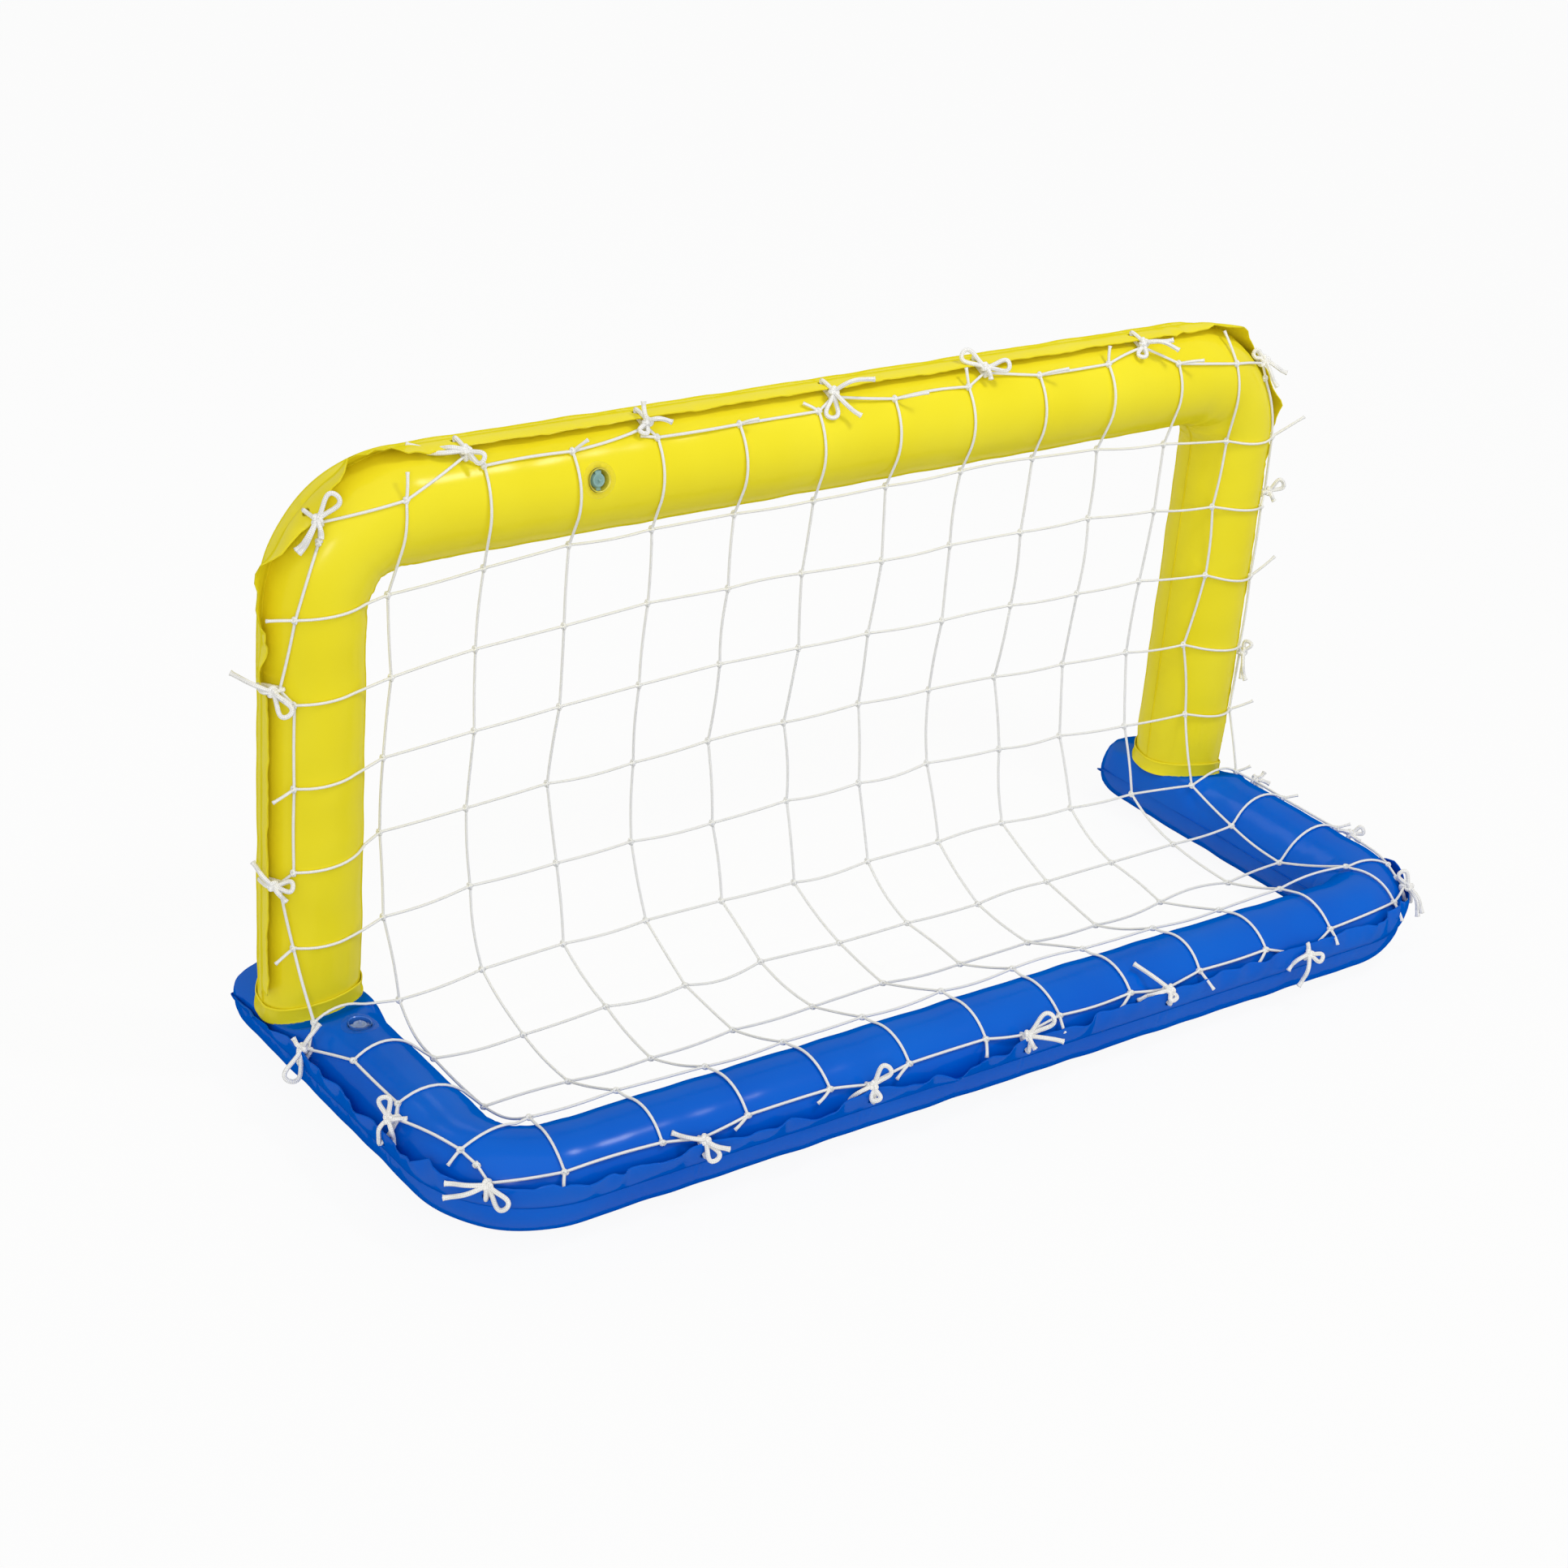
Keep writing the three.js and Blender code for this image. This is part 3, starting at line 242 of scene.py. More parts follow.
@dataclass(frozen=True)
class MouldedClearVinyl:
    """Clear soft PVC, injection moulded: glassy, with the tint of what it lies on and faint flow marks.

    Thick places hide more of what lies behind them. A piece that keeps no thickness counts as thin.
    """

    name: str
    colour: str
    thin: float  # how much of what lies behind it a thin place hides
    thick: float
    roughness: float = 0.12
    index: float = 1.53
    flow_size: float = 5.0  # mm between flow marks

    def make(self) -> Any:
        """Builds the material and returns it."""
        material, tree, surface = new_material(self.name)
        where = add_node(tree, "ShaderNodeTexCoord").outputs["Object"]
        flow = add_node(
            tree,
            "ShaderNodeTexNoise",
            {"Scale": 1000 / self.flow_size, "Detail": 2.0, "Distortion": 0.4},
            {"Vector": where},
        )
        rough = add_node(
            tree,
            "ShaderNodeMapRange",
            {"To Min": self.roughness - 0.04, "To Max": self.roughness + 0.12},
            {"Value": flow.outputs["Fac"]},
        )
        bump = add_node(
            tree, "ShaderNodeBump", {"Strength": 0.25, "Distance": 0.0003}, {"Height": flow.outputs["Fac"]}
        )
        deep = add_node(tree, "ShaderNodeAttribute", attribute_name="thickness", attribute_type="GEOMETRY")
        cover = add_node(
            tree,
            "ShaderNodeMapRange",
            {"To Min": self.thin, "To Max": self.thick},
            {"Value": deep.outputs["Fac"]},
        )
        shader = add_node(
            tree,
            "ShaderNodeBsdfPrincipled",
            {"Base Color": linear(self.colour), "IOR": self.index},
            {
                "Alpha": cover.outputs["Result"],
                "Roughness": rough.outputs["Result"],
                "Normal": bump.outputs["Normal"],
            },
        )
        tree.links.new(shader.outputs["BSDF"], surface)
        return material


@dataclass(frozen=True)
class BraidedCord:
    """Braided polyester cord: dull white, rows of small plump stitches crossing round it, painted shade in
    the grooves between.
    """

    name: str
    colour: str
    # painted shade: the colour that the grooves between stitches are darkened towards
    painted_groove_shade: str
    pitch: float  # mm from stitch to stitch along the cord
    strands: int = 3  # stitches round half the cord
    depth: float = 0.0006
    roughness: float = 0.78
    fuzz_size: float = 1000 / 1400.0  # mm, about 0.7, between loose fibres
    gaps: tuple = ((0.0, 0.0), (0.55, 1.0))  # how high a stitch is where the shade between them ends

    def make(self) -> Any:
        """Builds the material and returns it."""
        material, tree, surface = new_material(self.name)
        uv = add_node(tree, "ShaderNodeUVMap", uv_map="lay").outputs["UV"]
        parts = add_node(tree, "ShaderNodeSeparateXYZ", links={0: uv})
        where = add_node(tree, "ShaderNodeTexCoord")
        sums = "ShaderNodeMath"
        pitches = {"X": 1000 / self.pitch, "Y": self.strands}
        along, around = (
            add_node(tree, sums, {1: math.tau * rate}, {0: parts.outputs[axis]}, operation="MULTIPLY")
            for axis, rate in pitches.items()
        )
        waves = []
        for way in ("ADD", "SUBTRACT"):
            turn = add_node(tree, sums, links={0: along.outputs[0], 1: around.outputs[0]}, operation=way)
            waves.append(add_node(tree, sums, links={0: turn.outputs[0]}, operation="SINE").outputs[0])
        crossed = add_node(tree, sums, links={0: waves[0], 1: waves[1]}, operation="MULTIPLY")
        stitch = add_node(
            tree, "ShaderNodeMapRange", {"From Min": -1.0, "From Max": 1.0}, {"Value": crossed.outputs[0]}
        )
        fuzz = add_node(
            tree,
            "ShaderNodeTexNoise",
            {"Scale": 1000 / self.fuzz_size, "Detail": 3.0},
            {"Vector": where.outputs["Object"]},
        )
        height = add_node(
            tree,
            sums,
            {1: 0.35},
            {0: fuzz.outputs["Fac"], 2: stitch.outputs["Result"]},
            operation="MULTIPLY_ADD",
        )
        # Painted shade: the lower a place lies between the stitches, the more it takes the groove's darker
        # colour.
        gaps = add_node(
            tree, "ShaderNodeValToRGB", links={"Fac": stitch.outputs["Result"]}, stops=self.gaps
        )
        colour = add_node(
            tree,
            "ShaderNodeMix",
            {MIX_FIRST: linear(self.painted_groove_shade), MIX_LAST: linear(self.colour)},
            {MIX_FACTOR: gaps.outputs["Color"]},
            data_type="RGBA",
        )
        bump = add_node(
            tree, "ShaderNodeBump", {"Strength": 0.7, "Distance": self.depth}, {"Height": height.outputs[0]}
        )
        shader = add_node(
            tree,
            "ShaderNodeBsdfPrincipled",
            {"Roughness": self.roughness, "Sheen Weight": 0.15, "Specular IOR Level": 0.3},
            {"Base Color": colour.outputs[MIX_RESULT], "Normal": bump.outputs["Normal"]},
        )
        tree.links.new(shader.outputs["BSDF"], surface)
        return material


@dataclass(frozen=True)
class PaintedFloor:
    """Matt white studio floor: rolled paint that takes a soft shadow and hardly any shine."""

    name: str = "rolled_matt_white_floor_paint"
    colour: str = "#e4e4e2"
    roughness: float = 0.9
    bleach: float = 0.93  # share of plain white that the camera and the goal's shine see in it

    def make(self) -> Any:
        """Builds the material and returns it."""
        material, tree, surface = new_material(self.name)
        shader = add_node(
            tree,
            "ShaderNodeBsdfPrincipled",
            {"Base Color": linear(self.colour), "Roughness": self.roughness, "Specular IOR Level": 0.1},
        )
        white = add_node(tree, "ShaderNodeEmission", {"Color": (1, 1, 1, 1), "Strength": 1.0})
        seen = add_node(
            tree, "ShaderNodeMath", {1: self.bleach}, {0: add_seen_rays(tree)}, operation="MULTIPLY"
        )
        mix = add_node(
            tree,
            "ShaderNodeMixShader",
            links={0: seen.outputs[0], 1: shader.outputs["BSDF"], 2: white.outputs["Emission"]},
        )
        tree.links.new(mix.outputs["Shader"], surface)
        return material


class Finish(Enum):
    """The goal's finishes and the slot that each belongs to."""

    YELLOW = ("vinyl_yellow", CalenderedFilm("calendered_yellow_pvc_film", "#eede22", "#f2e42e", "#e0cf16"))
    BLUE = (
        "vinyl_blue",
        CalenderedFilm("calendered_blue_pvc_film", "#005ccc", "#0063d2", "#0051ba", fade=(0.14, 0.6)),
    )
    ON_YELLOW = ("vinyl_clear", MouldedClearVinyl("clear_pvc_over_yellow_film", "#f2e44e", 0.1, 0.82))
    ON_BLUE = ("vinyl_clear", MouldedClearVinyl("clear_pvc_over_blue_film", "#2f74d8", 0.1, 0.8))
    GLASSY_GREEN = (
        "vinyl_clear",
        MouldedClearVinyl("injection_moulded_blue_green_pvc", "#9cc6c0", 0.6, 0.8),
    )
    GLASSY_BLUE = (
        "vinyl_clear",
        MouldedClearVinyl("injection_moulded_pale_blue_pvc", "#9db4e2", 0.55, 0.75),
    )
    # The second colour of each cord is the painted shade in the grooves between its stitches.
    TWINE = ("net_twine", BraidedCord("braided_polyester_twine", "#fafaf7", "#e2e1de", 2.6))
    CORD = ("tie_cord", BraidedCord("braided_polyester_tie_cord", "#fbfaf7", "#e0dfda", 3.4, depth=0.0009))


class FinishBox:
    """Makes each finish once and dresses pieces with it."""

    made: ClassVar[dict[Finish, Any]] = {}

    @classmethod
    def dress(cls, piece: Any, finish: Finish) -> None:
        """Gives a piece its finish.

        Args:
            piece: the object.
            finish: one of the goal's finishes.
        """
        slot, maker = finish.value
        if finish not in cls.made:
            cls.made[finish] = maker.make()
        piece.data.materials.clear()
        piece.data.materials.append(cls.made[finish])


# Mesh helpers


def unit(vectors: np.ndarray) -> np.ndarray:
    """Vectors of length 1 along the last axis."""
    return vectors / np.maximum(np.linalg.norm(vectors, axis=-1, keepdims=True), 1e-12)


def ease(share: np.ndarray) -> np.ndarray:
    """A smooth step from 0 to 1."""
    held = np.clip(share, 0.0, 1.0)
    return held * held * (3 - 2 * held)


def bell(distance: np.ndarray, width: float) -> np.ndarray:
    """A bell curve of height 1."""
    return np.exp(-((distance / width) ** 2))


def between(share: np.ndarray, stops: tuple, values: tuple) -> np.ndarray:
    """Reads a curve that eases from one value to the next.

    Args:
        share: where it is read.
        stops: rising places at which its values are known.
        values: the value at each stop.

    Returns:
        The values read.
    """
    share = np.asarray(share, dtype=float)
    found = np.full(share.shape, float(values[0]))
    for low, high, first, last in zip(stops, stops[1:], values, values[1:]):
        found = np.where(share > low, first + (last - first) * ease((share - low) / (high - low)), found)
    return found


@dataclass(frozen=True)
class Wobble:
    """A smooth random curve of about unit height, the same on each run."""

    wavelength: float
    seed: int

    def __call__(self, along: np.ndarray, across: np.ndarray | float = 0.0) -> np.ndarray:
        """Reads the curve.

        Args:
            along: places along the piece, in metres.
            across: places across it, which bend the waves.

        Returns:
            Heights from about -1 to 1.
        """
        phases = np.random.default_rng(self.seed).uniform(0, 2 * math.pi, 6)
        total = np.zeros(np.shape(along))
        for i, share in enumerate((1.0, 0.63, 0.41)):
            drift = 0.7 * np.sin(along / (2.7 * self.wavelength) + phases[i + 3])
            bend = 9.0 * across * share
            wave = 2 * math.pi * along / (self.wavelength * share) + phases[i] + drift + bend
            total = total + math.sqrt(share) * np.sin(wave)
        return total / 1.7


def add_mesh(
    name: str,
    points: np.ndarray,
    faces: list,
    uv_name: str,
    uv: np.ndarray,
    sharp: np.ndarray | None = None,
) -> Any:
    """Makes a smooth mesh object.

    Args:
        name: the piece's name.
        points: its vertices, one row each.
        faces: vertex numbers of each face.
        uv_name: name of the UV layer.
        uv: the two numbers of each vertex.
        sharp: a number for each vertex; an edge between two of the same number above 0 is a crease.

    Returns:
        The new object, linked to the scene.
    """
    mesh = bpy.data.meshes.new(name)
    mesh.from_pydata(points.tolist(), [], faces)
    mesh.polygons.foreach_set("use_smooth", np.ones(len(mesh.polygons), dtype=bool))
    corners = np.empty(len(mesh.loops), dtype=np.int32)
    mesh.loops.foreach_get("vertex_index", corners)
    layer = mesh.uv_layers.new(name=uv_name)
    layer.data.foreach_set("uv", uv[corners].astype(np.float32).ravel())
    if sharp is not None:
        ends = np.empty(2 * len(mesh.edges), dtype=np.int32)
        mesh.edges.foreach_get("vertices", ends)
        pair = sharp[ends.reshape(-1, 2)]
        crease = (pair[:, 0] == pair[:, 1]) & (pair[:, 0] > 0)
        mesh.attributes.new("sharp_edge", "BOOLEAN", "EDGE").data.foreach_set("value", crease)
    mesh.update()
    piece = bpy.data.objects.new(name, mesh)
    bpy.context.scene.collection.objects.link(piece)
    return piece


def add_layer(piece: Any, name: str, values: np.ndarray) -> None:
    """Keeps a number for each vertex, which the finish reads.

    Args:
        piece: the object.
        name: what the finish calls the number.
        values: the numbers, in the order of the vertices.
    """
    layer = piece.data.attributes.new(name, "FLOAT", "POINT")
    layer.data.foreach_set("value", values.astype(np.float32))


def ring_faces(steps: int, wide: int) -> list[tuple[int, int, int, int]]:
    """Faces of a closed profile that is turned once round an axis.

    Args:
        steps: number of profiles round the axis.
        wide: number of points in each.

    Returns:
        The vertex numbers of each face.
    """
    faces = []
    for i in range(steps):
        here, there = i * wide, (i + 1) % steps * wide
        for k in range(wide):
            after = (k + 1) % wide
            faces.append((here + k, there + k, there + after, here + after))
    return faces


def smooth_path(points: np.ndarray, spacing: float, closed: bool = False) -> np.ndarray:
    """Lays a smooth curve through points.

    Args:
        points: the points to pass.
        spacing: distance between the curve's own points, in metres.
        closed: whether it comes back to its start.

    Returns:
        The curve's points.
    """
    count = len(points)
    if closed:
        ring = np.concatenate([points[-1:], points, points[:2]])
        runs = count
    else:
        first = 2 * points[0] - points[1]
        last = 2 * points[-1] - points[-2]
        ring = np.concatenate([[first], points, [last]])
        runs = count - 1
    pieces = []
    for i in range(runs):
        a, b, c, d = ring[i : i + 4]
        steps = max(2, math.ceil(float(np.linalg.norm(c - b)) / spacing))
        t = (np.arange(steps) / steps)[:, None]
        curve = 2 * b + (c - a) * t + (2 * a - 5 * b + 4 * c - d) * t**2 + (3 * b - a - 3 * c + d) * t**3
        pieces.append(0.5 * curve)
    if not closed:
        pieces.append(points[-1:])
    return np.concatenate(pieces)


@dataclass
class CordBundle:
    """Round cords gathered into one mesh."""

    sides: int = 8
    flare_reach: float = 0.0016  # how far back from a frayed end it still spreads
    flat_end: float = 0.25  # how far a frayed end and a plain one bulge, as shares of the radius
    round_end: float = 0.7
    points: list = field(default_factory=list)
    faces: list = field(default_factory=list)
    uv: list = field(default_factory=list)
    count: int = 0

    def add(self, path: np.ndarray, radius: float, closed: bool = False, flare: tuple = (0.0, 0.0)) -> None:
        """Adds one cord.

        Args:
            path: the points that its middle follows.
            radius: half its thickness.
            closed: whether it comes back to its start.
            flare: how much wider its start and its end are cut, as shares of the radius.
        """
        rings = len(path)
        if closed:
            ahead = unit(np.roll(path, -1, axis=0) - np.roll(path, 1, axis=0))
        else:
            ahead = unit(np.gradient(path, axis=0))
        run = np.concatenate([[0.0], np.cumsum(np.linalg.norm(np.diff(path, axis=0), axis=1))])
        side = np.cross(ahead[0], UP if abs(ahead[0][2]) < 0.9 else np.array([1.0, 0.0, 0.0]))
        sides = np.empty((rings, 3))
        for i in range(rings):
            side = side - ahead[i] * float(side @ ahead[i])
            side = side / max(float(np.linalg.norm(side)), 1e-9)
            sides[i] = side
        third = np.cross(ahead, sides)
        twist = 0.0
        if closed:
            back = sides[-1] - ahead[0] * float(sides[-1] @ ahead[0])
            twist = -math.atan2(float(back @ third[0]), float(back @ sides[0]))
        left = run[-1] - run
        spread = flare[0] * np.exp(-run / self.flare_reach) + flare[1] * np.exp(-left / self.flare_reach)
        widths = radius * (1 + spread)
        turns = np.arange(self.sides + 1) / self.sides
        angles = 2 * math.pi * turns[None, :] + (twist * run / max(run[-1], 1e-9))[:, None]
        skin = (
            path[:, None, :]
            + widths[:, None, None] * np.cos(angles)[..., None] * sides[:, None, :]
            + widths[:, None, None] * np.sin(angles)[..., None] * third[:, None, :]
        )
        uv = np.stack(np.broadcast_arrays(run[:, None], turns[None, :]), axis=-1)
        start = self.count
        wide = self.sides + 1
        self.points.append(skin.reshape(-1, 3))
        self.uv.append(uv.reshape(-1, 2))
        self.count += rings * wide
        for i in range(rings if closed else rings - 1):
            here, there = start + i * wide, start + (i + 1) % rings * wide
            for k in range(self.sides):
                self.faces.append((here + k, here + k + 1, there + k + 1, there + k))
        if not closed:
            for ring, sign, bulge in ((0, -1, flare[0]), (rings - 1, 1, flare[1])):
                depth = radius * (self.flat_end if bulge else self.round_end)
                self.points.append((path[ring] + sign * ahead[ring] * depth)[None])
                self.uv.append(np.array([[run[ring], 0.5]]))
                for k in range(self.sides):
                    edge = (start + ring * wide + k, start + ring * wide + k + 1)
                    a, b = edge if sign > 0 else edge[::-1]
                    self.faces.append((a, b, self.count))
                self.count += 1

    def build(self, name: str) -> Any:
        """Makes one mesh object of all its cords."""
        return add_mesh(name, np.concatenate(self.points), self.faces, "lay", np.concatenate(self.uv))


# Layout


@dataclass(frozen=True)
class Places:
    """Places on a tube's axis: one row for each."""

    centre: np.ndarray
    out: np.ndarray
    radius: np.ndarray
    turn: np.ndarray


@dataclass(frozen=True)
class TubePath:
    """The axis of a U-shaped tube, by the distance along it from the start of its right leg."""

    reach: float  # from a leg's start to the closed side's axis
    corner_radius: float
    leg_radius: float
    bar_radius: float
    start: tuple[float, float]  # y and z of the legs' starts
    climb: tuple[float, float, float]  # the direction in which the legs run
    lean: tuple[float, float, float]  # the direction towards the net's side
    half_span: float = 0.605

    @property
    def inner(self) -> float:
        """Half the straight part of the closed side."""
        return self.half_span - self.corner_radius

    @property
    def straight(self) -> float:
        """Length of a leg's straight part."""
        return self.reach - self.corner_radius

    @property
    def arc(self) -> float:
        """Length of a corner."""
        return self.corner_radius * math.pi / 2

    @property
    def total(self) -> float:
        """Length of the whole axis."""
        return 2 * (self.straight + self.arc + self.inner)

    @property
    def middle(self) -> tuple[float, float]:
        """Distances of the middle of the right and the left corner."""
        return self.straight + self.arc / 2, self.total - self.straight - self.arc / 2

    def short(self, along: np.ndarray) -> np.ndarray:
        """Distance from the nearer leg's start."""
        return np.minimum(along, self.total - along)

    def at(self, along: np.ndarray) -> Places:
        """Reads the axis.

        Args:
            along: distances along it; below 0 or beyond the total they run on straight.

        Returns:
            The places there.
        """
        along = np.asarray(along, dtype=float)
        short = self.short(along)
        sign = np.where(along <= self.total / 2, 1.0, -1.0)
        turn = np.clip((short - self.straight) / self.arc, 0.0, 1.0)
        angle = turn * math.pi / 2
        x = self.inner + self.corner_radius * np.cos(angle)
        x = x - np.maximum(short - self.straight - self.arc, 0.0)
        rise = np.minimum(short, self.straight) + self.corner_radius * np.sin(angle)
        climb = np.array(self.climb)
        across = np.array([1.0, 0.0, 0.0])
        base = np.array([0.0, *self.start])
        centre = base + (sign * x)[..., None] * across + rise[..., None] * climb
        out = (sign * np.cos(angle))[..., None] * across + np.sin(angle)[..., None] * climb
        radius = self.leg_radius + (self.bar_radius - self.leg_radius) * turn
        return Places(centre, out, radius, turn)

    def nearest(self, points: np.ndarray) -> np.ndarray:
        """Distance along the axis of the place that is nearest to each point.

        Args:
            points: one row for each point.

        Returns:
            The distances, held to the tube's own length.
        """
        x = np.abs(points[..., 0])
        rise = (points - np.array([0.0, *self.start])) @ np.array(self.climb)
        leg = np.clip(rise, 0.0, self.straight)
        angle = np.arctan2(np.maximum(rise - self.straight, 0.0), np.maximum(x - self.inner, 1e-9))
        corner = self.straight + self.corner_radius * angle
        bar = self.straight + self.arc + (self.inner - np.clip(x, 0.0, self.inner))
        folded = np.stack([x, points[..., 1], points[..., 2]], axis=-1)
        choices = np.stack([leg, corner, bar])
        gaps = np.linalg.norm(self.at(choices).centre - folded[None], axis=-1)
        best = np.take_along_axis(choices, np.argmin(gaps, axis=0)[None], axis=0)[0]
        return np.where(points[..., 0] >= 0, best, self.total - best)

    def round(self, along: float, degrees: float, lift: float) -> np.ndarray:
        """A point round the tube from its outer seam.

        Args:
            along: distance along the axis.
            degrees: how far round, towards the net's side.
            lift: height above the film.

        Returns:
            The point.
        """
        place = self.at(np.array([along]))
        angle = math.radians(degrees)
        away = math.cos(angle) * place.out[0] + math.sin(angle) * np.array(self.lean)
        return place.centre[0] + (place.radius[0] + lift) * away


@dataclass(frozen=True)
class GoalLayout:
    """Where the goal's parts are, in metres from the post axes and the floor."""

    half_span: float = 0.605
    bar_height: float = 0.6
    back_reach: float = 0.372
    axis_height: float = 0.0492404
    leg_start: float = 0.053  # a leg's tube begins to close here, ahead of the post axes
    flap_end: float = 0.082  # height at which the posts' flaps end
    collar_top: float = 0.116  # below this the net's edge runs along the legs
    bar_ties: tuple = (-0.76, -0.415, -0.03, 0.31, 0.69)  # shares of the half span
    back_ties: tuple = (-0.685, -0.34, -0.008, 0.328, 0.665)
    post_ties: tuple = (0.74, 0.388)  # shares of the bar's height
    leg_ties: tuple = (0.255, 0.7)  # shares of the back reach
    arch_valve: float = 0.526  # share of the half span, to the left of the middle
    base_valve: float = 0.293  # share of the back reach
    foot_half: float = 0.056  # half a post's foot, over which it presses into the leg
    foot_depth: float = 0.0155  # how deep it presses in the middle
    foot_tilt: float = 0.15  # how steeply the foot's rim drops towards the outer side
    foot_bow: float = 3.6  # how it drops to both sides over the leg's round back, per metre

    def base(self) -> TubePath:
        """The base chamber's axis."""
        return TubePath(
            reach=self.leg_start + self.back_reach,
            corner_radius=0.078,
            leg_radius=0.05,
            bar_radius=0.05,
            start=(POST_Y + self.leg_start, self.axis_height),
            climb=(0.0, -1.0, 0.0),
            lean=(0.0, 0.0, 1.0),
        )

    def arch(self) -> TubePath:
        """The arch chamber's axis."""
        return TubePath(
            reach=self.bar_height - self.flap_end,
            corner_radius=0.092,
            leg_radius=0.053,
            bar_radius=0.059,
            start=(POST_Y, self.flap_end),
            climb=(0.0, 0.0, 1.0),
            lean=(0.0, -1.0, 0.0),
        )

    def tie_places(self) -> list[tuple[str, str, float]]:
        """Name, chamber and distance along its axis of each tie, in the model's own order."""
        arch = self.arch()
        base = self.base()
        posts = [self.bar_height * share - self.flap_end for share in self.post_ties]
        legs = [self.leg_start + self.back_reach * share for share in self.leg_ties]
        found = [("arch", arch.total / 2 - self.half_span * share) for share in self.bar_ties]
        found.append(("arch", arch.middle[0]))
        found += [("arch", along) for along in posts]
        found += [("base", along) for along in legs]
        found.append(("base", base.middle[0]))
        found += [("base", base.total / 2 + self.half_span * share) for share in self.back_ties]
        found.append(("base", base.middle[1]))
        found += [("base", base.total - along) for along in legs]
        found += [("arch", arch.total - along) for along in posts]
        found.append(("arch", arch.middle[1]))
        return [(f"tie_{i + 1:02d}", chamber, along) for i, (chamber, along) in enumerate(found)]


LAYOUT = GoalLayout()
BASE = LAYOUT.base()
ARCH = LAYOUT.arch()


def clear_of_tubes(points: np.ndarray, lift: float) -> np.ndarray:
    """Moves points out of both tubes.

    Args:
        points: one row for each point.
        lift: how far above the film they end at least.

    Returns:
        The moved points.
    """
    moved = points
    for path in (ARCH, BASE):
        place = path.at(path.nearest(moved))
        away = moved - place.centre
        far = np.linalg.norm(away, axis=-1)
        least = place.radius + lift
        pushed = place.centre + away * (least / np.maximum(far, 1e-9))[..., None]
        moved = np.where((far < least)[..., None], pushed, moved)
    return moved


def foot_at(short: np.ndarray) -> np.ndarray:
    """How close a place along a leg is to the post's foot, from 0 to 1."""
    reach, fade = 0.092, 0.04
    return ease((reach - np.abs(short - LAYOUT.leg_start)) / fade)


def squareness(turn: np.ndarray, share: np.ndarray) -> np.ndarray:
    """How far a leg's section bulges at its shoulders, as a multiple of its radius.

    Args:
        turn: angle round the upper half of the tube.
        share: 0 for a round section and 1 for one that is squared up.

    Returns:
        The radius there over the round section's.
    """
    power = 2 + 1.3 * share
    total = np.abs(np.cos(turn)) ** power + np.abs(np.sin(turn)) ** power
    return (1 + 0.05 * share * np.abs(np.cos(turn)) ** 2) / total ** (1 / power)


def rim_height(inward: np.ndarray, gap: float) -> np.ndarray:
    """Height of the line along which a post's foot sinks into a leg. It sinks deeper on the outer side.

    Args:
        inward: distance from the leg's axis towards the goal's middle.
        gap: distance above the leg's film.

    Returns:
        The height.
    """
    inward = np.clip(inward, -LAYOUT.foot_half, LAYOUT.foot_half)
    middle = BASE.start[1] + BASE.leg_radius + gap - LAYOUT.foot_depth
    return middle + LAYOUT.foot_tilt * inward - LAYOUT.foot_bow * inward**2


class SheetSide(Enum):
    """Which of a chamber's two sheets: the one towards the net, or the other."""

    NET = 1
    AWAY = -1


@dataclass(frozen=True)
class Section:
    """The shape of a chamber's section at each place."""

    half_width: np.ndarray
    half_height: np.ndarray
    centre: np.ndarray
    flap_way: np.ndarray
    lip_way: np.ndarray
    flap: np.ndarray
    lip: np.ndarray
    angle: np.ndarray


@dataclass(frozen=True)
class Hole:
    """A round hole in a sheet: its place along and across, metres per unit of each, and its radius."""

    along: float
    across: float
    per_along: float
    per_across: float
    radius: float

    def gap(self, along: np.ndarray, across: np.ndarray) -> tuple[np.ndarray, np.ndarray]:
        """Distances from its middle in metres, along and across."""
        return (along - self.along) * self.per_along, (across - self.across) * self.per_across


